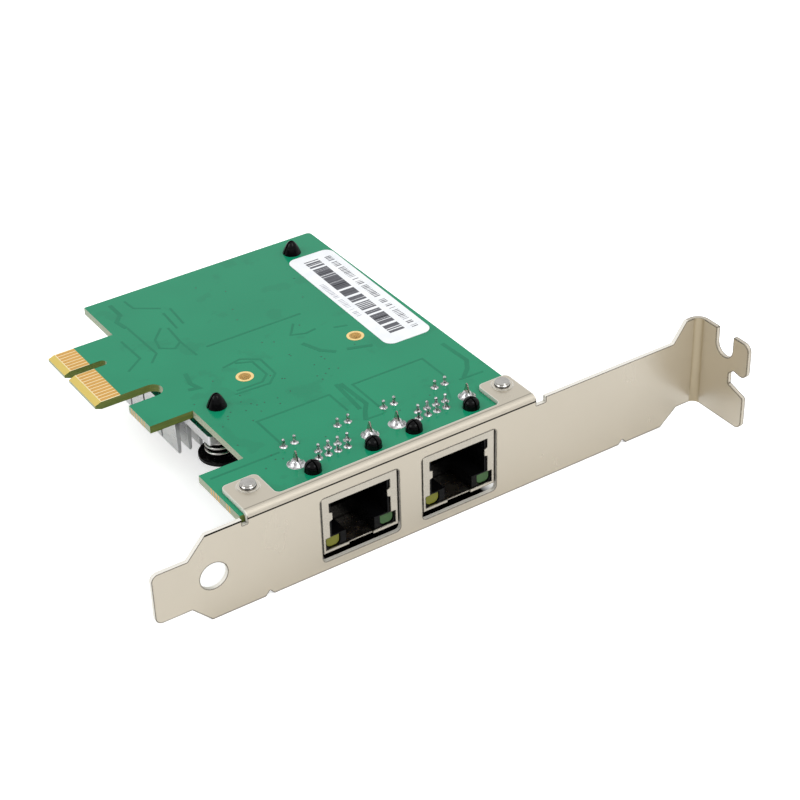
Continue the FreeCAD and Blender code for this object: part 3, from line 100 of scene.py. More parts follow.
# ------------------------------------------------------------------ settings
class CardSizes(bpy.types.PropertyGroup):
    edge_break: bpy.props.FloatProperty(
        name="Edge break", description="Rounding of the bracket's sheared edges",
        default=0.00018, unit="LENGTH")
    nick_wide: bpy.props.FloatProperty(
        name="Nick width", description="Width of a nick in the bracket's low edge",
        default=0.0018, unit="LENGTH")
    nick_deep: bpy.props.FloatProperty(
        name="Nick depth", description="Depth of a nick in the bracket's low edge",
        default=0.001, unit="LENGTH")
    gap_width: bpy.props.FloatProperty(
        name="Gap width", description="Width of a gap etched in the copper plane",
        default=0.0005, unit="LENGTH")
    gap_height: bpy.props.FloatProperty(
        name="Gap height", description="Thickness given to a gap's darker lacquer",
        default=0.000012, unit="LENGTH")
    via_size: bpy.props.FloatProperty(
        name="Via size", description="Diameter of a masked through hole",
        default=0.0003, unit="LENGTH")
    print_height: bpy.props.FloatProperty(
        name="Print height", description="Thickness given to the label's ink",
        default=0.00001, unit="LENGTH")
    stub_width: bpy.props.FloatProperty(
        name="Stub width", description="Width of a cut plating stub on the edge",
        default=0.00036, unit="LENGTH")
    lens_length: bpy.props.FloatProperty(
        name="Lens", description="Focal length of the camera, in millimetres",
        default=87.1, subtype="NONE")


def shade(label, text, value):
    """A colour property that keeps its sRGB value as a hex string."""
    return bpy.props.StringProperty(name=label, description=text, default=value)


class CardColours(bpy.types.PropertyGroup):
    mask: shade("Solder mask", "Green lacquer over copper plane", "0f8a63")
    mask_copper: shade("Mask over gaps", "Green lacquer over bare laminate", "047554")
    via_green: shade("Via", "Lacquer sunk in a small plated hole", "06392b")
    # Painted light: edges facing left and right get the pale colour, the rest the dark one
    laminate: shade("Laminate edge", "Cut edge of the glass laminate", "546c30")
    side_lit_laminate: shade("Glass edge", "Cut edge with the glass showing", "a3b09c")
    tongue: shade("Tongue laminate", "Bare laminate between contacts", "d6be64")
    tongue_top: shade("Tongue face", "Pale laminate between contacts", "f0dfb0")
    gold: shade("Gold", "Gold plate on contacts", "ecb866")
    # Painted light: the gold in the holes is paler than the contacts' gold
    brightened_gold: shade("Gold flash", "Thin gold in plated holes", "ffdc94")
    nickel: shade("Nickel", "Nickel plate on the bracket", "d8d0c0")
    # Own colour of the sheared edges, also painted highlight along the flange's edges
    sheared_and_highlight: shade("Sheared edge", "Torn steel edge under thin plate", "efece4")
    levelling_line: shade("Flange line", "Line where the flange levels out", "a39c8e")
    # Painted shade: a thin dark line along the plate's and the shells' edges
    painted_line_shade: shade("Burr", "Broken edge of the plate", "1a1814")
    # Painted shade in the tab's bend
    tab_bend_shade: shade("Rubbed bend", "Nickel rubbed by the press in the tab's bend", "b8ab91")
    # Painted shade: a dark line along the flange's bend
    painted_bend_shade: shade("Bend line", "Line pressed in along the bend", "1f1c18")
    tin: shade("Tin", "Tin plate on the shells", "d0cabd")
    solder: shade("Solder", "Lead-free solder", "f6f6f7")
    nylon: shade("Nylon", "Black nylon of jacks and pins", "060607")
    mould: shade("Mould", "Black epoxy of packages", "222327")
    ferrite: shade("Ferrite", "Pressed ferrite of the inductors", "47474a")
    copper: shade("Copper", "Enamelled copper winding", "b4713d")
    aluminium: shade("Aluminium", "Bare extruded aluminium", "e9e9eb")
    steel: shade("Steel", "Zinc-plated screws and springs", "c8c6c2")
    paper: shade("Label", "Coated white label", "e4e9ef")
    ink: shade("Ink", "Thermal print", "55565c")
    pale_ink: shade("Pale ink", "Worn thermal print", "a9abb3")
    yellow_lens: shade("Yellow lens", "Unlit yellow-green lamp", "737422")
    green_lens: shade("Green lens", "Unlit green lamp", "3c5f35")
    ceramic: shade("Ceramic", "Capacitor ceramic", "a98d68")
    amber: shade("Amber", "Tantalum capacitor mould", "c48f2d")
    gel: shade("Gel", "Heat-conducting gel sheet", "8391a0")
    floor: shade("Floor", "Pale studio floor", "f7f7f7")


def sizes():
    """The sizes that a user may change."""
    return bpy.context.scene.card_sizes


def colour(name, share=1.0, lift=0.0):
    """One of the card's colours, from its sRGB hex value to linear light, made
    darker or brighter by a share and a lift."""
    text = getattr(bpy.context.scene.card_colours, name)
    out = []
    for place in (0, 2, 4):
        part = int(text[place:place + 2], 16) / 255
        part = part / 12.92 if part <= 0.04045 else ((part + 0.055) / 1.055) ** 2.4
        out.append(min(1.0, part * share + lift))
    return (*out, 1.0)


# ------------------------------------------------------------------ node helpers
def add(tree, kind, inputs=None, **settings):
    """Add one node, apply its settings, then set or link its inputs."""
    node = tree.nodes.new(kind)
    for name, value in settings.items():
        setattr(node, name, value)
    for name, value in (inputs or {}).items():
        if isinstance(value, bpy.types.NodeSocket):
            tree.links.new(value, node.inputs[name])
        else:
            node.inputs[name].default_value = value
    return node


def new_material(name):
    """An empty material, its tree and its coordinates in metres."""
    material = bpy.data.materials.new(name)
    material.use_nodes = True
    tree = material.node_tree
    tree.nodes.clear()
    place = add(tree, "ShaderNodeTexCoord").outputs["Object"]
    return material, tree, place


def close(tree, inputs, height=None, depth=0.0, strength=0.5):
    """Finish a material: its relief, depth millimetres deep, the surface shader and
    the output."""
    shader = add(tree, "ShaderNodeBsdfPrincipled", inputs)
    if height is not None:
        bump = add(tree, "ShaderNodeBump",
                   {"Height": height, "Distance": depth * MM, "Strength": strength})
        tree.links.new(bump.outputs[0], shader.inputs["Normal"])
    add(tree, "ShaderNodeOutputMaterial", {"Surface": shader.outputs[0]})


def grain(tree, place, millimetres, detail=3.0, stretch=(1, 1, 1)):
    """Noise whose features are about that many millimetres across."""
    turned = add(tree, "ShaderNodeMapping", {"Vector": place, "Scale": stretch})
    return add(tree, "ShaderNodeTexNoise",
               {"Vector": turned.outputs[0], "Scale": 1000 / millimetres,
                "Detail": detail}).outputs["Fac"]


def between(tree, factor, low, high):
    """Spread the middle of a 0 to 1 pattern over a range of plain numbers."""
    return add(tree, "ShaderNodeMapRange",
               {"Value": factor, "From Min": 0.3, "From Max": 0.7,
                "To Min": low, "To Max": high}).outputs[0]


def compare(tree, value, edge, soft):
    """A soft step from 0 to 1 where a value passes an edge."""
    return add(tree, "ShaderNodeMapRange",
               {"Value": value, "From Min": edge - soft,
                "From Max": edge + soft}).outputs[0]


def hollows(tree, millimetres):
    """1 in the open and 0 deep in gaps narrower than that many millimetres."""
    sky = add(tree, "ShaderNodeAmbientOcclusion", {"Distance": millimetres * MM},
              samples=8).outputs["AO"]
    return between(tree, sky, 0.0, 1.0)


def near_edges(tree, millimetres):
    """1 within about that many millimetres of a sharp edge, 0 elsewhere."""
    flat = add(tree, "ShaderNodeNewGeometry").outputs["Normal"]
    rounded = add(tree, "ShaderNodeBevel", {"Radius": millimetres * MM},
                  samples=6).outputs[0]
    same = add(tree, "ShaderNodeVectorMath", {0: flat, 1: rounded},
               operation="DOT_PRODUCT").outputs["Value"]
    return add(tree, "ShaderNodeMapRange",
               {"Value": same, "From Min": 0.998, "From Max": 0.95}).outputs[0]


# ------------------------------------------------------------------ materials
def masked_laminate(name):
    # Glass-epoxy laminate, screen-coated with solder mask: a green lacquer with
    # faint clouds and a gloss that mirrors the pins. Its cut edges show olive resin,
    # painted paler where they face left and right as painted light, its bare tongue
    # a pale yellow sheet.
    material, tree, place = new_material(name)
    axes = add(tree, "ShaderNodeSeparateXYZ", {"Vector": place}).outputs
    normal = add(tree, "ShaderNodeNewGeometry").outputs["Normal"]
    facing = add(tree, "ShaderNodeSeparateXYZ", {"Vector": normal}).outputs
    # The lacquer, darker in clouds and in patches
    cloud = between(tree, grain(tree, place, 16.0, 2.0), 0.0, 0.25)
    patches = compare(tree, grain(tree, place, 7.0, 4.0), 0.62, 0.02)
    faint = add(tree, "ShaderNodeMath", {0: patches, 1: 0.3}, operation="MULTIPLY")
    clouded = add(tree, "ShaderNodeMix",
                  {0: cloud, 6: colour("mask"), 7: colour("mask_copper")},
                  data_type="RGBA").outputs[2]
    lacquer = add(tree, "ShaderNodeMix",
                  {0: faint.outputs[0], 6: clouded, 7: colour("mask_copper")},
                  data_type="RGBA").outputs[2]
    # The cut edges: painted light makes those that face left and right paler
    upright = add(tree, "ShaderNodeMath", {0: facing[2]}, operation="ABSOLUTE")
    flat = compare(tree, upright.outputs[0], 0.5, 0.1)
    sideways = add(tree, "ShaderNodeMath", {0: facing[0]}, operation="ABSOLUTE")
    lit_sides = compare(tree, sideways.outputs[0], 0.93, 0.05)
    fibres = between(tree, grain(tree, place, 1.2, 2.0, (0.2, 0.2, 9.0)), 0.0, 0.15)
    sawn = add(tree, "ShaderNodeMix",
               {0: lit_sides, 6: colour("laminate"), 7: colour("side_lit_laminate")},
               data_type="RGBA").outputs[2]
    edge = add(tree, "ShaderNodeMix", {0: fibres, 6: sawn, 7: colour("tongue")},
               data_type="RGBA").outputs[2]
    # The tongue, left of the lacquer and beyond the lug, paler on its flat face
    off_tongue = add(tree, "ShaderNodeMapRange",
                     {"Value": axes[1], "From Min": at(0, LUG_FAR + 0.05)[1],
                      "From Max": at(0, LUG_FAR - 0.05)[1]}).outputs[0]
    beyond = compare(tree, axes[0], at(-LACQUER_OUT, 0)[0], 0.05 * MM)
    lacquered = add(tree, "ShaderNodeMath", {0: off_tongue, 1: beyond},
                    operation="MAXIMUM").outputs[0]
    level = compare(tree, upright.outputs[0], 0.985, 0.01)
    resin = add(tree, "ShaderNodeMix",
                {0: level, 6: colour("tongue"), 7: colour("tongue_top")},
                data_type="RGBA").outputs[2]
    face = add(tree, "ShaderNodeMix", {0: lacquered, 6: resin, 7: lacquer},
               data_type="RGBA").outputs[2]
    paint = add(tree, "ShaderNodeMix", {0: flat, 6: edge, 7: face},
                data_type="RGBA").outputs[2]
    weave = grain(tree, place, 0.5, 1.0)
    close(tree, {"Base Color": paint, "Roughness": between(tree, flat, 0.5, 0.16),
                 "Specular IOR Level": 0.3}, weave, 0.01, 0.06)
    return material


def masked_gap(name):
    # The same lacquer where the copper plane below it is etched away: a darker
    # line with the board's gloss.
    material, tree, place = new_material(name)
    cloud = between(tree, grain(tree, place, 5.0), 0.0, 0.3)
    tone = add(tree, "ShaderNodeMix",
               {0: cloud, 6: colour("mask_copper"), 7: colour("mask")},
               data_type="RGBA").outputs[2]
    close(tree, {"Base Color": tone, "Roughness": 0.2, "Specular IOR Level": 0.25})
    return material


def plated(name, paint, rough, mottle=0.08, size=6.0, stretch=(1, 1, 1), bump=0.004,
           metal=1.0, gap_shade=0.0, outline=0.0):
    """A plated or bare metal, mottled over size millimetres and waved over a quarter
    of that. Painted shade makes it dark in gaps narrower than the gap width given,
    and in a dark line within the edge width given of its edges, both in millimetres."""
    material, tree, place = new_material(name)
    cloud = between(tree, grain(tree, place, size, 3.0, stretch), 0.0, 1.0)
    tone = add(tree, "ShaderNodeMix",
               {0: cloud, 6: colour(paint, 1 - 2 * mottle), 7: colour(paint)},
               data_type="RGBA").outputs[2]
    # Painted shade: dark in narrow gaps and in a line along the edges
    if gap_shade:
        tone = add(tree, "ShaderNodeMix",
                   {0: hollows(tree, gap_shade), 6: colour(paint, 0.04), 7: tone},
                   data_type="RGBA").outputs[2]
    if outline:
        tone = add(tree, "ShaderNodeMix",
                   {0: near_edges(tree, outline), 6: tone, 7: colour("painted_line_shade")},
                   data_type="RGBA").outputs[2]
    wave = grain(tree, place, size / 4, 2.0, stretch)
    close(tree, {"Base Color": tone, "Metallic": metal,
                 "Roughness": between(tree, wave, rough * 0.85, rough * 1.2)},
          wave, bump)
    return material


def stamped_steel(name):
    # Stamped steel, nickel-plated: warm grey and satin with faint clouds, a dark line
    # of painted shade along the bend, pale sheared edges with lines of painted highlight
    # and shade, painted shade in the tab's bend and in narrow gaps.
    material, tree, place = new_material(name)
    axes = add(tree, "ShaderNodeSeparateXYZ", {"Vector": place}).outputs
    normal = add(tree, "ShaderNodeNewGeometry").outputs["Normal"]
    facing = add(tree, "ShaderNodeSeparateXYZ", {"Vector": normal}).outputs
    ahead, rise = facing[1], facing[2]
    cloud = grain(tree, place, 20.0, 3.0, (1, 1, 0.4))
    tone = add(tree, "ShaderNodeMix",
               {0: cloud, 6: colour("nickel", 0.94), 7: colour("nickel")},
               data_type="RGBA").outputs[2]
    # A dark line of painted shade along the bend, and a fainter darker line where the
    # flange levels out
    past_end = compare(tree, axes[0], at(EAR_RIGHT, 0)[0], 0.05 * MM)
    for axis, centre, half, paint in ((2, at(0, 0, BEND_LINE), 0.17, "painted_bend_shade"),
                                      (1, at(0, FLANGE_LINE), 0.12, "levelling_line")):
        off = add(tree, "ShaderNodeMath", {0: axes[axis], 1: centre[axis]},
                  operation="SUBTRACT")
        away = add(tree, "ShaderNodeMath", {0: off.outputs[0]}, operation="ABSOLUTE")
        beside = compare(tree, away.outputs[0], half * MM, 0.06 * MM)
        clear = add(tree, "ShaderNodeMath", {0: beside, 1: past_end},
                    operation="MAXIMUM")
        tone = add(tree, "ShaderNodeMix",
                   {0: clear.outputs[0], 6: colour(paint), 7: tone},
                   data_type="RGBA").outputs[2]
    # The sheared edges of the flange, which stand upright, and of the plate,
    # which face up, down and sideways, but not the tab
    upright = add(tree, "ShaderNodeMath", {0: rise}, operation="ABSOLUTE")
    above = compare(tree, axes[2], at(0, 0, FLANGE_LEVEL)[2], 0.1 * MM)
    flange = add(tree, "ShaderNodeMath", {0: above, 1: past_end},
                 operation="SUBTRACT", use_clamp=True).outputs[0]
    sideways = add(tree, "ShaderNodeMath", {0: ahead}, operation="ABSOLUTE")
    broad = add(tree, "ShaderNodeMix",
                {0: flange, 2: sideways.outputs[0], 3: upright.outputs[0]},
                data_type="FLOAT").outputs[0]
    flat = compare(tree, broad, 0.3, 0.1)
    tab = compare(tree, axes[0], at(TAB_START, 0)[0], 0.1 * MM)
    plain = add(tree, "ShaderNodeMath", {0: flat, 1: tab},
                operation="MAXIMUM").outputs[0]
    tone = add(tree, "ShaderNodeMix", {0: plain, 6: colour("sheared_and_highlight"), 7: tone},
               data_type="RGBA").outputs[2]
    # The broken edge: a thin line of painted shade round the plate, a line of painted
    # highlight on the flange
    line = add(tree, "ShaderNodeMix",
               {0: flange, 6: colour("painted_line_shade"), 7: colour("sheared_and_highlight")},
               data_type="RGBA").outputs[2]
    rim = add(tree, "ShaderNodeMath", {0: near_edges(tree, 0.4), 1: plain},
              operation="MULTIPLY").outputs[0]
    tone = add(tree, "ShaderNodeMix", {0: rim, 6: tone, 7: line},
               data_type="RGBA").outputs[2]
    # The tab's bend, painted darker as painted shade
    inner = add(tree, "ShaderNodeMath",
                {0: compare(tree, facing[0], -0.12, 0.1),
                 1: compare(tree, ahead, -0.12, 0.1)}, operation="MAXIMUM")
    off_tab = add(tree, "ShaderNodeMapRange",
                  {"Value": axes[0], "From Min": at(TAB_BEND + 0.2, 0)[0],
                   "From Max": at(TAB_BEND, 0)[0]}).outputs[0]
    keep = add(tree, "ShaderNodeMath", {0: inner.outputs[0], 1: off_tab},
               operation="MAXIMUM").outputs[0]
    tone = add(tree, "ShaderNodeMix", {0: keep, 6: colour("tab_bend_shade"), 7: tone},
               data_type="RGBA").outputs[2]
    # The flange's bend, left dull by the press
    over = add(tree, "ShaderNodeMath", {0: ahead, 1: -1.0}, operation="MULTIPLY")
    bend = add(tree, "ShaderNodeMath",
               {0: compare(tree, rise, 0.2, 0.1),
                1: compare(tree, over.outputs[0], 0.2, 0.1)}, operation="MULTIPLY")
    shiny = add(tree, "ShaderNodeMath", {0: plain, 1: bend.outputs[0]},
                operation="SUBTRACT", use_clamp=True).outputs[0]
    # Painted shade: dark in gaps narrower than 0.9 millimetres
    tone = add(tree, "ShaderNodeMix",
               {0: hollows(tree, 0.9), 6: colour("nickel", 0.05), 7: tone},
               data_type="RGBA").outputs[2]
    wave = grain(tree, place, 5.0, 2.0, (1, 1, 0.4))
    rough = add(tree, "ShaderNodeMix",
                {0: shiny, 2: 0.55, 3: between(tree, wave, 0.27, 0.37)},
                data_type="FLOAT").outputs[0]
    close(tree, {"Base Color": tone, "Metallic": between(tree, shiny, 0.5, 1.0),
                 "Roughness": rough}, wave, 0.006)
    return material


def moulded(name, paint, rough, size=0.6, bump=0.01, shine=0.5):
    """An injection-moulded plastic with a fine texture, size millimetres across and
    bump millimetres deep."""
    material, tree, place = new_material(name)
    cloud = grain(tree, place, size * 8)
    tone = add(tree, "ShaderNodeMix",
               {0: cloud, 6: colour(paint), 7: colour(paint, 1.35, 0.002)},
               data_type="RGBA").outputs[2]
    close(tree, {"Base Color": tone, "Roughness": rough, "Specular IOR Level": shine},
          grain(tree, place, size, 2.0), bump)
    return material


# Each finish by its own name: the function that makes it and what it is given
RECIPES = {
    # Laminate under lacquer, and the lacquer over an etched gap
    "masked_laminate": (masked_laminate, {}),
    "masked_gap": (masked_gap, {}),
    # Lacquer sunk in a plated hole: a dark speck
    "sunk_via": (moulded, dict(paint="via_green", rough=0.3)),
    # Hard gold over nickel, electroplated: warm and mirror-like
    "gold_plate": (plated, dict(paint="gold", rough=0.22, mottle=0.04, size=3.0)),
    # Gold flashed in a drilled barrel: rougher, mostly matt and painted paler as
    # painted light, so that it glows from inside
    "brightened_gold": (plated, dict(paint="brightened_gold", rough=0.42, mottle=0.1, size=0.8,
                                bump=0.01, metal=0.15)),
    # Nickel on stamped steel
    "nickel_plate": (stamped_steel, {}),
    # Tin-plated brass, folded: a shade smoother than the bracket, with painted shade
    # black in its seams and in a dark line along its edges
    "tin_plate": (plated, dict(paint="tin", rough=0.26, mottle=0.03, gap_shade=1.6,
                               outline=0.2)),
    # Reflowed solder: bright, with a slightly grainy skin whose strong mottle also
    # stands in for dark reflections, and painted shade dark where it necks
    "solder": (plated, dict(paint="solder", rough=0.1, mottle=0.42, size=0.45,
                            bump=0.04, gap_shade=0.5)),
    # Extruded aluminium, sawn: satin with faint lines along the fins, and painted
    # shade in narrow gaps
    "extruded_aluminium": (plated, dict(paint="aluminium", rough=0.3, mottle=0.02,
                                        size=2.0, stretch=(6, 0.3, 1), bump=0.003,
                                        gap_shade=1.5)),
    # Zinc-plated steel, rolled or drawn: bright with dark reflections, and painted
    # shade in narrow gaps
    "zinc_steel": (plated, dict(paint="steel", rough=0.16, mottle=0.1, size=1.5,
                                bump=0.01, gap_shade=0.6)),
    # Nylon, moulded: black, its low shine broken by faint ripples
    "moulded_nylon": (moulded, dict(paint="nylon", rough=0.14, size=0.9, bump=0.12,
                                    shine=0.12)),
    # Epoxy mould compound: flat black with a fine sparkle of filler
    "epoxy_mould": (moulded, dict(paint="mould", rough=0.55, size=0.25, bump=0.015)),
    # Pressed ferrite: dull dark grey
    "pressed_ferrite": (moulded, dict(paint="ferrite", rough=0.6, size=0.3)),
    # Enamelled copper wire, wound: warm brown with fine turns
    "wound_copper": (plated, dict(paint="copper", rough=0.35, mottle=0.1, size=0.25,
                                  stretch=(0.1, 0.1, 1), bump=0.03)),
    # Coated paper: even and faintly glossy
    "coated_paper": (moulded, dict(paint="paper", rough=0.42, size=0.4, bump=0.003)),
    # Thermal ink: flat dark grey, and the same worn pale
    "thermal_ink": (moulded, dict(paint="ink", rough=0.6, size=0.3, bump=0.001)),
    "worn_ink": (moulded, dict(paint="pale_ink", rough=0.6, size=0.3, bump=0.001)),
    # Cast epoxy lamp lenses: clouded, with a wet shine
    "yellow_lens": (moulded, dict(paint="yellow_lens", rough=0.2, size=1.0, shine=0.3)),
    "green_lens": (moulded, dict(paint="green_lens", rough=0.2, size=1.0, shine=0.3)),
    # Sintered ceramic of the chip capacitors: matt tan
    "fired_ceramic": (moulded, dict(paint="ceramic", rough=0.5, size=0.3)),
    # Amber epoxy of the tantalum capacitors: warm and a little glossy
    "amber_mould": (moulded, dict(paint="amber", rough=0.4, size=0.3)),
    # Grey silicone gel sheet: soft and dull
    "silicone_gel": (moulded, dict(paint="gel", rough=0.6, size=0.5, bump=0.02)),
}
FINISHES = {}


def finish(name):
    """Make each finish once, by its own name."""
    if name not in FINISHES:
        maker, settings = RECIPES[name]
        FINISHES[name] = maker(name, **settings)
    return FINISHES[name]


def coat(names, finish_name):
    """Give CAD nodes a finish."""
    for name in names:
        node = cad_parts.get(name)
        if node is None:
            continue
        node.data.materials.clear()
        node.data.materials.append(finish(finish_name))


# ------------------------------------------------------------------ mesh helpers
def new_piece(name, mesh, finish_name=None):
    """Link a finished mesh as a piece that rides on the card."""
    piece = bpy.data.objects.new(name, mesh)
    bpy.context.scene.collection.objects.link(piece)
    if finish_name:
        mesh.materials.clear()
        mesh.materials.append(finish(finish_name))
    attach(piece, "root")
    return piece


def dressed_copy(node_name, piece_name, finish_name, edge_break=0.0, angle=30):
    """A smoothly shaded copy of a CAD node that stands for it, its edges broken."""
    weld, flat, sharp = 0.002 * MM, math.radians(1.0), math.radians(angle)
    work = bmesh.new()
    work.from_mesh(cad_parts[node_name].data)
    bmesh.ops.remove_doubles(work, verts=work.verts, dist=weld)
    bmesh.ops.dissolve_limit(work, angle_limit=flat, verts=work.verts, edges=work.edges)
    for edge in work.edges:
        edge.smooth = edge.calc_face_angle(0.0) < sharp
    for face in work.faces:
        face.smooth = True
    mesh = bpy.data.meshes.new(piece_name)
    work.to_mesh(mesh)
    work.free()
    piece = new_piece(piece_name, mesh, finish_name)
    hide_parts(node_name)
    if edge_break:
        cut = piece.modifiers.new("edge_break", "BEVEL")
        cut.width = edge_break
        cut.segments = 2
        cut.limit_method = "ANGLE"
        cut.angle_limit = sharp
        cut.miter_outer = "MITER_ARC"
        even = piece.modifiers.new("even_shading", "WEIGHTED_NORMAL")
        even.keep_sharp = True
    return piece


def nicked(piece, places, wide, deep):
    """Cut small V nicks up into the lowest edge of a piece, through its sheet."""
    low = BRACKET_LOW[2]
    work = bmesh.new()
    for across in places:
        left, middle, right = (at(across, 0)[0] + step for step in (-wide / 2, 0, wide / 2))
        ends = []
        for along in (BRACKET_LOW[1] - MM, BRACKET_HIGH[1] + MM):
            ends.append([work.verts.new(corner) for corner in (
                (left, along, low), (left, along, low - MM), (right, along, low - MM),
                (right, along, low), (middle, along, low + deep))])
        first, second = ends
        work.faces.new(first)
        work.faces.new(list(reversed(second)))
        for turn in range(len(first)):
            after = (turn + 1) % len(first)
            work.faces.new((first[turn], second[turn], second[after], first[after]))
    bmesh.ops.recalc_face_normals(work, faces=work.faces)
    mesh = bpy.data.meshes.new("nick_tool")
    work.to_mesh(mesh)
    work.free()
    tool = bpy.data.objects.new("nick_tool", mesh)
    bpy.context.scene.collection.objects.link(tool)
    source = bpy.data.objects.new("nick_source", piece.data)
    bpy.context.scene.collection.objects.link(source)
    cut = source.modifiers.new("nicks", "BOOLEAN")
    cut.operation = "DIFFERENCE"
    cut.solver = "EXACT"
    cut.object = tool
    bpy.context.view_layer.update()
    graph = bpy.context.evaluated_depsgraph_get()
    result = bpy.data.meshes.new_from_object(source.evaluated_get(graph))
    bpy.data.objects.remove(source)
    bpy.data.objects.remove(tool)
    return result


def strip(work, points, width, low, high):
    """A flat track of constant width through points, as a closed solid."""
    sharpest_mitre = 0.4
    left, right = [], []
    count = len(points)
    for index, point in enumerate(points):
        before = points[max(index - 1, 0)]
        after = points[min(index + 1, count - 1)]
        ahead = Vector((after[0] - point[0], after[1] - point[1], 0))
        behind = Vector((point[0] - before[0], point[1] - before[1], 0))
        ahead = ahead.normalized() if ahead.length else behind.normalized()
        behind = behind.normalized() if behind.length else ahead
        run = (ahead + behind).normalized()
        across = Vector((-run.y, run.x, 0))
        reach = width / 2 / max(sharpest_mitre,
                                 across.dot(Vector((-ahead.y, ahead.x, 0))))
        centre = Vector((point[0], point[1], 0))
        left.append(centre + across * reach)
        right.append(centre - across * reach)
    rows = []
    for height in (low, high):
        rows.append([work.verts.new((p.x, p.y, height)) for p in left])
        rows.append([work.verts.new((p.x, p.y, height)) for p in right])
    bottom_left, bottom_right, top_left, top_right = rows
    for index in range(count - 1):
        after = index + 1
        work.faces.new((top_left[index], top_right[index], top_right[after],
                        top_left[after]))
        work.faces.new((bottom_left[index], bottom_left[after], bottom_right[after],
                        bottom_right[index]))
        work.faces.new((bottom_left[index], top_left[index], top_left[after],
                        bottom_left[after]))
        work.faces.new((bottom_right[index], bottom_right[after], top_right[after],
                        top_right[index]))
    work.faces.new((bottom_left[0], bottom_right[0], top_right[0], top_left[0]))
    work.faces.new((bottom_left[-1], top_left[-1], top_right[-1], bottom_right[-1]))


def tracks(name, lines, width, height, finish_name):
    """Tracks on the board through points given on the card, as one piece."""
    work = bmesh.new()
    for number, points in enumerate(lines):
        places = [at(across, along) for across, along in points]
        # Each a little higher than the last, so that crossings stay clean
        strip(work, places, width, CORNER[2] - 0.01 * MM,
              CORNER[2] + height * (1 + number / 20))
    bmesh.ops.recalc_face_normals(work, faces=work.faces)
    mesh = bpy.data.meshes.new(name)
    work.to_mesh(mesh)
    work.free()
    return new_piece(name, mesh, finish_name)


# ------------------------------------------------------------------ geometry nodes
def node_group(name, inputs):
    """An empty geometry group: a mesh in and out, named size inputs and a finish."""
    group = bpy.data.node_groups.new(name, "GeometryNodeTree")
    group.interface.new_socket("Geometry", in_out="INPUT",
                               socket_type="NodeSocketGeometry")
    group.interface.new_socket("Geometry", in_out="OUTPUT",
                               socket_type="NodeSocketGeometry")
    for label, kind, value in inputs + [("Finish", "NodeSocketMaterial", None)]:
        socket = group.interface.new_socket(label, in_out="INPUT", socket_type=kind)
        if value is not None:
            socket.default_value = value
    return group


def end_group(group, came, placed):
    """Make the copies on the points real, give them the finish and hand them out."""
    real = add(group, "GeometryNodeRealizeInstances", {"Geometry": placed.outputs[0]})
    done = add(group, "GeometryNodeSetMaterial",
               {"Geometry": real.outputs[0], "Material": came.outputs["Finish"]})
    add(group, "NodeGroupOutput", {"Geometry": done.outputs[0]})
    return group


def studs_on_points():
    """Low round studs of one size on every point."""
    group = node_group("studs_on_points", [
        ("Diameter", "NodeSocketFloat", 0.0005),
        ("Height", "NodeSocketFloat", 0.00005),
    ])
    came = add(group, "NodeGroupInput")
    half = add(group, "ShaderNodeMath", {0: came.outputs["Diameter"], 1: 0.5},
               operation="MULTIPLY")
    stud = add(group, "GeometryNodeMeshCylinder",
               {"Vertices": 12, "Radius": half.outputs[0],
                "Depth": came.outputs["Height"]})
    placed = add(group, "GeometryNodeInstanceOnPoints",
                 {"Points": came.outputs["Geometry"],
                  "Instance": stud.outputs["Mesh"]})
    return end_group(group, came, placed)


def bars_on_points():
    """Flat bars of one length whose widths vary by a fixed seed, on every point."""
    group = node_group("bars_on_points", [
        ("Length", "NodeSocketFloat", 0.004),
        ("Narrow", "NodeSocketFloat", 0.0003),
        ("Wide", "NodeSocketFloat", 0.0009),
        ("Height", "NodeSocketFloat", 0.00001),
        ("Seed", "NodeSocketInt", 3),
    ])
    came = add(group, "NodeGroupInput")
    width = add(group, "FunctionNodeRandomValue",
                {2: came.outputs["Narrow"], 3: came.outputs["Wide"],
                 "Seed": came.outputs["Seed"]}, data_type="FLOAT")
    size = add(group, "ShaderNodeCombineXYZ",
               {"X": came.outputs["Length"], "Y": width.outputs[1],
                "Z": came.outputs["Height"]})
    bar = add(group, "GeometryNodeMeshCube", {"Size": (1.0, 1.0, 1.0)})
    placed = add(group, "GeometryNodeInstanceOnPoints",
                 {"Points": came.outputs["Geometry"], "Instance": bar.outputs["Mesh"],
                  "Scale": size.outputs[0]})
    return end_group(group, came, placed)


GROUPS = {}


def grown(name, points, maker, values, finish_name):
    """Run a geometry group on loose points and keep the plain result."""
    if maker.__name__ not in GROUPS:
        GROUPS[maker.__name__] = maker()
    group = GROUPS[maker.__name__]
    seed = bpy.data.meshes.new(name + "_points")
    seed.from_pydata([tuple(point) for point in points], [], [])
    holder = bpy.data.objects.new(name + "_points", seed)
    bpy.context.scene.collection.objects.link(holder)
    modifier = holder.modifiers.new("grow", "NODES")
    modifier.node_group = group
    values = dict(values, Finish=finish(finish_name))
    for item in group.interface.items_tree:
        if item.item_type == "SOCKET" and item.name in values:
            modifier[item.identifier] = values[item.name]
    holder.update_tag()
    bpy.context.view_layer.update()
    graph = bpy.context.evaluated_depsgraph_get()
    mesh = bpy.data.meshes.new_from_object(holder.evaluated_get(graph))
    holder.modifiers.remove(modifier)
    bpy.data.objects.remove(holder)
    if not mesh.polygons:
        raise RuntimeError(name + " came out empty")
    return new_piece(name, mesh)


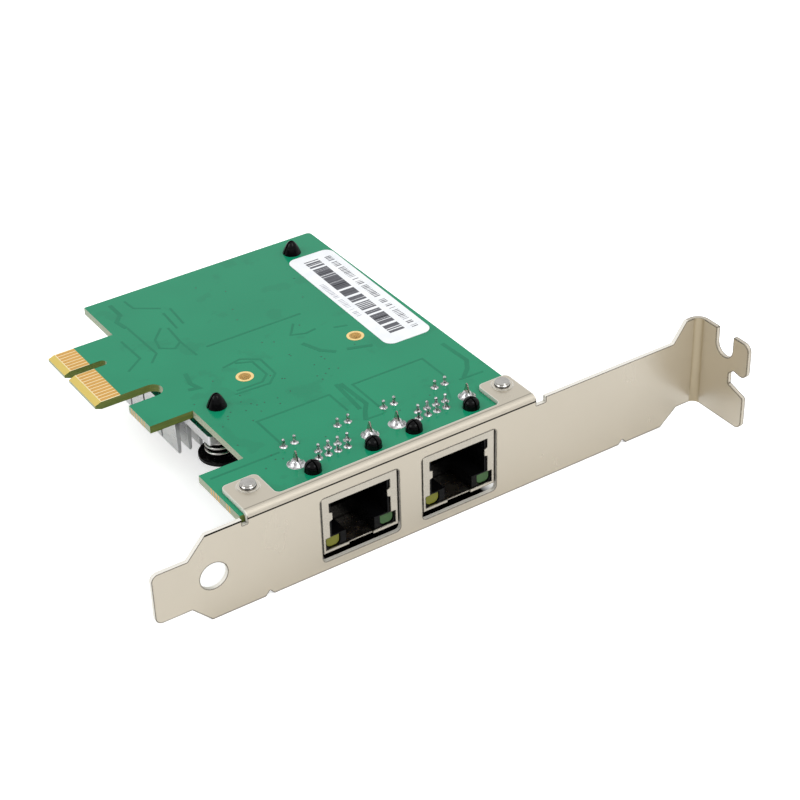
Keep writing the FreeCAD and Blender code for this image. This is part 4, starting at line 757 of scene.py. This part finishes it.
# ------------------------------------------------------------------ operators
class CARD_OT_board(bpy.types.Operator):
    """Finish the board and show the etched gaps and vias below its lacquer"""
    bl_idname = "card.board"
    bl_label = "Board"

    def execute(self, context):
        s = sizes()
        coat(["circuit_board"], "masked_laminate")
        coat(["edge_contacts_solder_side", "edge_contacts_component_side"],
             "gold_plate")
        dressed_copy("plated_hole_rings", "gold_eyelets", "brightened_gold", 0.02 * MM)
        port_1_fence = [(7.8, 14.5), (7.8, 24.2), (23.3, 24.0), (23.3, 17.5)]
        port_2_fence = [(28.7, 13.0), (28.7, 24.4), (44.4, 24.2), (44.4, 17.0),
                        (41.0, 10.0)]
        # Points across and along the card, in millimetres
        wide = [
            [(26.2, 26.3), (25.6, 19.0), (25.4, 16.6)],
            [(27.0, 26.0), (27.3, 17.5), (25.7, 15.4), (24.3, 13.0)],
            [(50.6, 26.4), (51.0, 18.8), (49.4, 16.3), (47.0, 14.1)],
            [(4.6, 77.6), (4.6, 73.0), (2.8, 71.0), (3.3, 67.8)],
            [(4.9, 46.3), (4.0, 42.6), (4.6, 40.4), (2.6, 40.9)],
            [(28.6, 42.4), (30.2, 38.2), (32.4, 36.0)],
            [(34.6, 35.6), (39.4, 33.9)],
        ]
        fine = [
            port_1_fence, port_2_fence,
            [(-7.9, 13.5), (6.2, 13.4)],
            [(24.2, 13.1), (28.1, 12.9)],
            [(14.4, 43.9), (17.4, 42.4), (17.4, 37.0), (15.4, 35.2), (9.9, 35.3)],
            [(11.7, 43.8), (15.9, 44.6), (19.1, 42.3), (18.9, 36.3), (16.3, 33.9),
             (9.1, 34.4)],
            [(0.2, 63.9), (0.4, 56.2), (-3.6, 53.3)],
            [(3.5, 67.6), (3.8, 55.9), (1.4, 53.3)],
            [(8.9, 63.8), (5.9, 60.5), (5.2, 57.2), (7.6, 55.4), (9.6, 57.0),
             (10.1, 63.0)],
            [(9.6, 57.0), (9.9, 50.8)],
            [(12.0, 68.6), (11.5, 61.8)],
            [(14.0, 69.5), (13.4, 62.7)],
            [(12.9, 52.4), (34.2, 52.3)],
            [(7.7, 77.3), (8.0, 73.8), (12.5, 70.5)],
            [(31.0, 49.8), (28.4, 46.4), (31.2, 45.2), (33.6, 45.6)],
            [(36.7, 43.9), (39.4, 43.0)],
            [(45.9, 14.0), (51.2, 13.7)],
        ]
        tracks("wide_gaps", wide, 1.8 * s.gap_width, s.gap_height, "masked_gap")
        tracks("fine_gaps", fine, s.gap_width, 0.7 * s.gap_height, "masked_gap")
        scatter = random.Random(11)
        dots = []
        for left, right, near, far, count in ((0.5, 8.0, 10.0, 42.0, 12),
                                              (8.0, 30.0, 26.0, 38.0, 22),
                                              (20.0, 41.0, 28.0, 74.0, 12),
                                              (1.0, 40.0, 10.0, 16.0, 6)):
            for number in range(count):
                dots.append(at(scatter.uniform(left, right),
                               scatter.uniform(near, far)))
        grown("sunk_vias", dots, studs_on_points,
              {"Diameter": s.via_size, "Height": 2 * s.gap_height}, "sunk_via")
        return {"FINISHED"}


class CARD_OT_stubs(bpy.types.Operator):
    """Add the cut plating stubs on the board's left edges"""
    bl_idname = "card.stubs"
    bl_label = "Plating stubs"

    def execute(self, context):
        s = sizes()
        sunk, proud, tall = 0.02, 0.06 * MM, 1.5 * MM
        points = []
        for edge, near, count, step in ((LUG_OUT, 36.6, 6, 1.0), (FOOT_OUT, 8.4, 4, 0.9),
                                        (FOOT_OUT, 4.6, 2, 0.9)):
            for turn in range(count):
                points.append(at(sunk - edge, near + turn * step, BOARD_MIDDLE))
        grown("plating_stubs", points, bars_on_points,
              {"Length": proud, "Narrow": 0.7 * s.stub_width, "Wide": s.stub_width,
               "Height": tall, "Seed": 1}, "gold_plate")
        return {"FINISHED"}


class CARD_OT_bracket(bpy.types.Operator):
    """Break the bracket's sheared edges, nick its low edge and plate it"""
    bl_idname = "card.bracket"
    bl_label = "Bracket"

    def execute(self, context):
        s = sizes()
        nick_places = (-4.9, 74.7)
        piece = dressed_copy("bracket", "plated_bracket", "nickel_plate", s.edge_break)
        piece.data = nicked(piece, nick_places, s.nick_wide, s.nick_deep)
        dressed_copy("bracket_screws", "plated_screws", "zinc_steel", 0.04 * MM, 40)
        return {"FINISHED"}


class CARD_OT_jacks(bpy.types.Operator):
    """Finish the jacks: shells, inserts, wires, lamps and their solder"""
    bl_idname = "card.jacks"
    bl_label = "Jacks"

    def execute(self, context):
        for port in ("port_1", "port_2"):
            coat([port + "_contacts"], "gold_plate")
            for node, piece, finish_name, edge_break in (
                ("_shield", "_tinned_shell", "tin_plate", 0.05),
                ("_housing", "_moulded_insert", "moulded_nylon", 0.04),
                ("_yellow_led", "_yellow_lamp", "yellow_lens", 0.1),
                ("_green_led", "_green_lamp", "green_lens", 0.1),
            ):
                dressed_copy(port + node, port + piece, finish_name, edge_break * MM)
        dressed_copy("pin_solder_joints", "reflowed_pins", "solder", 0.0, 60)
        dressed_copy("shield_solder_joints", "reflowed_tabs", "solder", 0.0, 60)
        return {"FINISHED"}


class CARD_OT_cooling(bpy.types.Operator):
    """Finish the heat sink, its pins and springs, and the controller below it"""
    bl_idname = "card.cooling"
    bl_label = "Cooling"

    def execute(self, context):
        dressed_copy("heat_sink", "sawn_heat_sink", "extruded_aluminium", 0.06 * MM)
        dressed_copy("push_pins", "moulded_push_pins", "moulded_nylon", 0.05 * MM, 50)
        dressed_copy("push_pin_springs", "drawn_springs", "zinc_steel", 0.0, 60)
        coat(["ethernet_controller"], "epoxy_mould")
        coat(["thermal_pad"], "silicone_gel")
        return {"FINISHED"}


class CARD_OT_small_parts(bpy.types.Operator):
    """Finish the small parts on the component side"""
    bl_idname = "card.small_parts"
    bl_label = "Small parts"

    def execute(self, context):
        coat(["magnetics_modules", "flash_memory", "voltage_regulators",
              "resistors"], "epoxy_mould")
        coat(["magnetics_leads", "flash_leads", "regulator_leads",
              "chip_terminals"], "solder")
        coat(["crystal"], "tin_plate")
        coat(["power_inductors"], "pressed_ferrite")
        coat(["inductor_windings"], "wound_copper")
        coat(["ceramic_capacitors"], "fired_ceramic")
        coat(["tantalum_capacitors"], "amber_mould")
        return {"FINISHED"}


class CARD_OT_label(bpy.types.Operator):
    """Finish the label and print plain bars and grey lines on it"""
    bl_idname = "card.label"
    bl_label = "Label"

    def execute(self, context):
        s = sizes()
        # Stuck on by hand, a little out of square with the board
        askew = math.radians(-1.1)
        corner = at(LABEL_RIGHT, LABEL_FAR)
        turn = (Matrix.Translation(corner) @ Matrix.Rotation(askew, 4, "Z")
                @ Matrix.Translation(-corner))
        printed = [dressed_copy("label", "stuck_label", "coated_paper")]
        pick = random.Random(5)
        across, along, far = 46.9, 35.6, 69.0
        bars = []
        while along < far:
            bars.append(at(across, along, LABEL_TOP))
            along += pick.choice((0.62, 0.62, 0.9, 1.3))
        printed.append(grown("label_bars", bars, bars_on_points,
                             {"Length": 3.4 * MM, "Narrow": 0.3 * MM, "Wide": 1.0 * MM,
                              "Height": 2 * s.print_height, "Seed": 4},
                             "thermal_ink"))
        skipped, step = 0.12, 0.56
        for name, across, along, far, length, ink in (
            ("label_heading", 50.7, 34.8, 68.6, 1.4, "thermal_ink"),
            ("label_numbers", 43.7, 44.4, 59.2, 1.1, "worn_ink"),
        ):
            ticks = []
            while along < far:
                if pick.random() > skipped:
                    ticks.append(at(across, along, LABEL_TOP))
                along += step
            printed.append(grown(name, ticks, bars_on_points,
                                 {"Length": length * MM, "Narrow": 0.12 * MM,
                                  "Wide": 0.34 * MM, "Height": 2 * s.print_height,
                                  "Seed": 9}, ink))
        for piece in printed:
            piece.data.transform(turn)
        return {"FINISHED"}


class CARD_OT_stage(bpy.types.Operator):
    """Set the floor, the soft studio light and the camera"""
    bl_idname = "card.stage"
    bl_label = "Stage"

    def execute(self, context):
        scene = context.scene
        make_floor()
        make_lights()
        make_world(scene)
        make_camera(scene)
        return {"FINISHED"}


# ------------------------------------------------------------------ stage
WHITE = (1, 1, 1, 1)
BLACK = (0, 0, 0, 1)


def make_floor():
    """A plain pale floor, white to the camera, which keeps the card's shadow, plus a
    painted one.
    """
    mesh = bpy.data.meshes.new("studio_floor")
    half, top = 2.0, CAD_BOX[0][2] - 0.02 * MM
    mesh.from_pydata([(-half, -half, top), (half, -half, top), (half, half, top),
                      (-half, half, top)], [], [(0, 1, 2, 3)])
    floor = bpy.data.objects.new("studio_floor", mesh)
    bpy.context.scene.collection.objects.link(floor)
    material, tree, place = new_material("painted_floor")
    matt = add(tree, "ShaderNodeBsdfDiffuse", {"Color": colour("floor")})
    # Open floor glows a little, so that it is white to the camera. A shadow is painted
    # close below the jacks, just behind the bracket: there the floor turns black and
    # stops glowing, with soft ends.
    axes = add(tree, "ShaderNodeSeparateXYZ", {"Vector": place})
    near, far = at(6.0, 0.9), at(46.0, 11.5)
    painted_shadow = 1.0
    for axis, near_fade, far_fade in ((0, 2.5, 2.5), (1, 0.2, 6.0)):
        for edge, fade in ((near[axis], near_fade), (far[axis], -far_fade)):
            step = add(tree, "ShaderNodeMapRange",
                       {"Value": axes.outputs[axis], "From Min": edge,
                        "From Max": edge + fade * MM}).outputs[0]
            painted_shadow = add(tree, "ShaderNodeMath", {0: painted_shadow, 1: step},
                         operation="MULTIPLY").outputs[0]
    strength = add(tree, "ShaderNodeMapRange",
                   {"Value": painted_shadow, "To Min": 0.5, "To Max": 0.0}).outputs[0]
    seen = add(tree, "ShaderNodeMix", {0: painted_shadow, 6: colour("floor"), 7: BLACK},
               data_type="RGBA").outputs[2]
    shaded = add(tree, "ShaderNodeBsdfDiffuse", {"Color": seen})
    glow = add(tree, "ShaderNodeEmission", {"Color": WHITE, "Strength": strength})
    both = add(tree, "ShaderNodeAddShader",
               {0: shaded.outputs[0], 1: glow.outputs[0]})
    path = add(tree, "ShaderNodeLightPath")
    mixed = add(tree, "ShaderNodeMixShader",
                {0: path.outputs["Is Camera Ray"], 1: matt.outputs[0],
                 2: both.outputs[0]})
    add(tree, "ShaderNodeOutputMaterial", {"Surface": mixed.outputs[0]})
    mesh.materials.append(material)


def make_lights():
    """Soft boxes: one high in front and one high on the left, to shape the metal."""
    centre = (Vector(CAD_BOX[0]) + Vector(CAD_BOX[1])) / 2
    for name, place, wide, watts in (
        ("front_soft_box", (0.12, -0.42, 0.62), 0.4, 1.5),
        ("left_soft_box", (-0.6, 0.1, 0.5), 0.35, 1.1),
    ):
        lamp = bpy.data.lights.new(name, "AREA")
        lamp.shape = "SQUARE"
        lamp.size = wide
        lamp.energy = watts
        holder = bpy.data.objects.new(name, lamp)
        holder.location = centre + Vector(place)
        holder.rotation_mode = "QUATERNION"
        holder.rotation_quaternion = (-Vector(place)).to_track_quat("-Z", "Y")
        bpy.context.scene.collection.objects.link(holder)


def make_world(scene):
    """A pale studio, dark low down in front of the bracket, with a white backdrop."""
    front_way = (-0.54, -0.84, 0.0)
    pale, dim, white = 0.85, 0.05, 1.0
    world = bpy.data.worlds.new("pale_studio")
    world.use_nodes = True
    tree = world.node_tree
    tree.nodes.clear()
    way = add(tree, "ShaderNodeTexCoord").outputs["Generated"]
    height = add(tree, "ShaderNodeSeparateXYZ", {"Vector": way}).outputs[2]
    ahead = add(tree, "ShaderNodeVectorMath", {0: way, 1: front_way},
                operation="DOT_PRODUCT").outputs["Value"]
    front = add(tree, "ShaderNodeMapRange",
                {"Value": ahead, "From Min": 0.1, "From Max": 0.6})
    low = add(tree, "ShaderNodeMapRange",
              {"Value": height, "From Min": 0.5, "From Max": 0.2})
    dark = add(tree, "ShaderNodeMath", {0: front.outputs[0], 1: low.outputs[0]},
               operation="MULTIPLY")
    studio = add(tree, "ShaderNodeMapRange",
                 {"Value": dark.outputs[0], "To Min": pale, "To Max": dim})
    path = add(tree, "ShaderNodeLightPath")
    seen = add(tree, "ShaderNodeMath",
               {0: path.outputs["Is Camera Ray"],
                1: path.outputs["Is Transmission Ray"]}, operation="MAXIMUM")
    strength = add(tree, "ShaderNodeMix",
                   {0: seen.outputs[0], 2: studio.outputs[0], 3: white},
                   data_type="FLOAT")
    back = add(tree, "ShaderNodeBackground",
               {"Color": WHITE, "Strength": strength.outputs[0]})
    add(tree, "ShaderNodeOutputWorld", {"Surface": back.outputs[0]})
    scene.world = world
    scene.view_settings.view_transform = "Standard"


def make_camera(scene):
    """Look down on the solder side from the tongue end of the bracket."""
    sensor, nearest, farthest = 36.0, 0.01, 20.0
    azimuth = math.radians(-122.819)
    elevation = math.radians(33.679)
    roll = math.radians(-1.685)
    distance = 333.777 * MM
    aim = at(21.641, -2.863, 13.991)
    back = Vector((math.cos(elevation) * math.cos(azimuth),
                   math.cos(elevation) * math.sin(azimuth), math.sin(elevation)))
    level = Vector((-math.sin(azimuth), math.cos(azimuth), 0))
    rise = back.cross(level)
    right = math.cos(roll) * level + math.sin(roll) * rise
    up = math.cos(roll) * rise - math.sin(roll) * level
    camera = bpy.data.cameras.new("card_camera")
    camera.lens = sizes().lens_length
    camera.sensor_width = sensor
    camera.clip_start = nearest
    camera.clip_end = farthest
    holder = bpy.data.objects.new("card_camera", camera)
    turned = Matrix((right, up, back)).transposed()
    holder.matrix_world = Matrix.Translation(aim + back * distance) @ turned.to_4x4()
    scene.collection.objects.link(holder)
    scene.camera = holder


# ------------------------------------------------------------------ add-on
PIECE_OPERATORS = (CARD_OT_board, CARD_OT_stubs, CARD_OT_bracket, CARD_OT_jacks,
                   CARD_OT_cooling, CARD_OT_small_parts, CARD_OT_label)


class CARD_PT_panel(bpy.types.Panel):
    """Network card dressing"""
    bl_idname = "CARD_PT_panel"
    bl_label = "Network Card"
    bl_space_type = "VIEW_3D"
    bl_region_type = "UI"
    bl_category = "Network Card"

    def draw(self, context):
        for operator in PIECE_OPERATORS + (CARD_OT_stage,):
            self.layout.operator(operator.bl_idname)


CLASSES = (CardSizes, CardColours) + PIECE_OPERATORS + (CARD_OT_stage, CARD_PT_panel)


def register():
    for one in CLASSES:
        bpy.utils.register_class(one)
    bpy.types.Scene.card_sizes = bpy.props.PointerProperty(type=CardSizes)
    bpy.types.Scene.card_colours = bpy.props.PointerProperty(type=CardColours)


def unregister():
    del bpy.types.Scene.card_sizes
    del bpy.types.Scene.card_colours
    for one in reversed(CLASSES):
        bpy.utils.unregister_class(one)


def main():
    register()
    bpy.ops.card.board()
    bpy.ops.card.stubs()
    bpy.ops.card.bracket()
    bpy.ops.card.jacks()
    bpy.ops.card.cooling()
    bpy.ops.card.small_parts()
    bpy.ops.card.label()
    bpy.ops.card.stage()


if __name__ == "__main__":
    main()
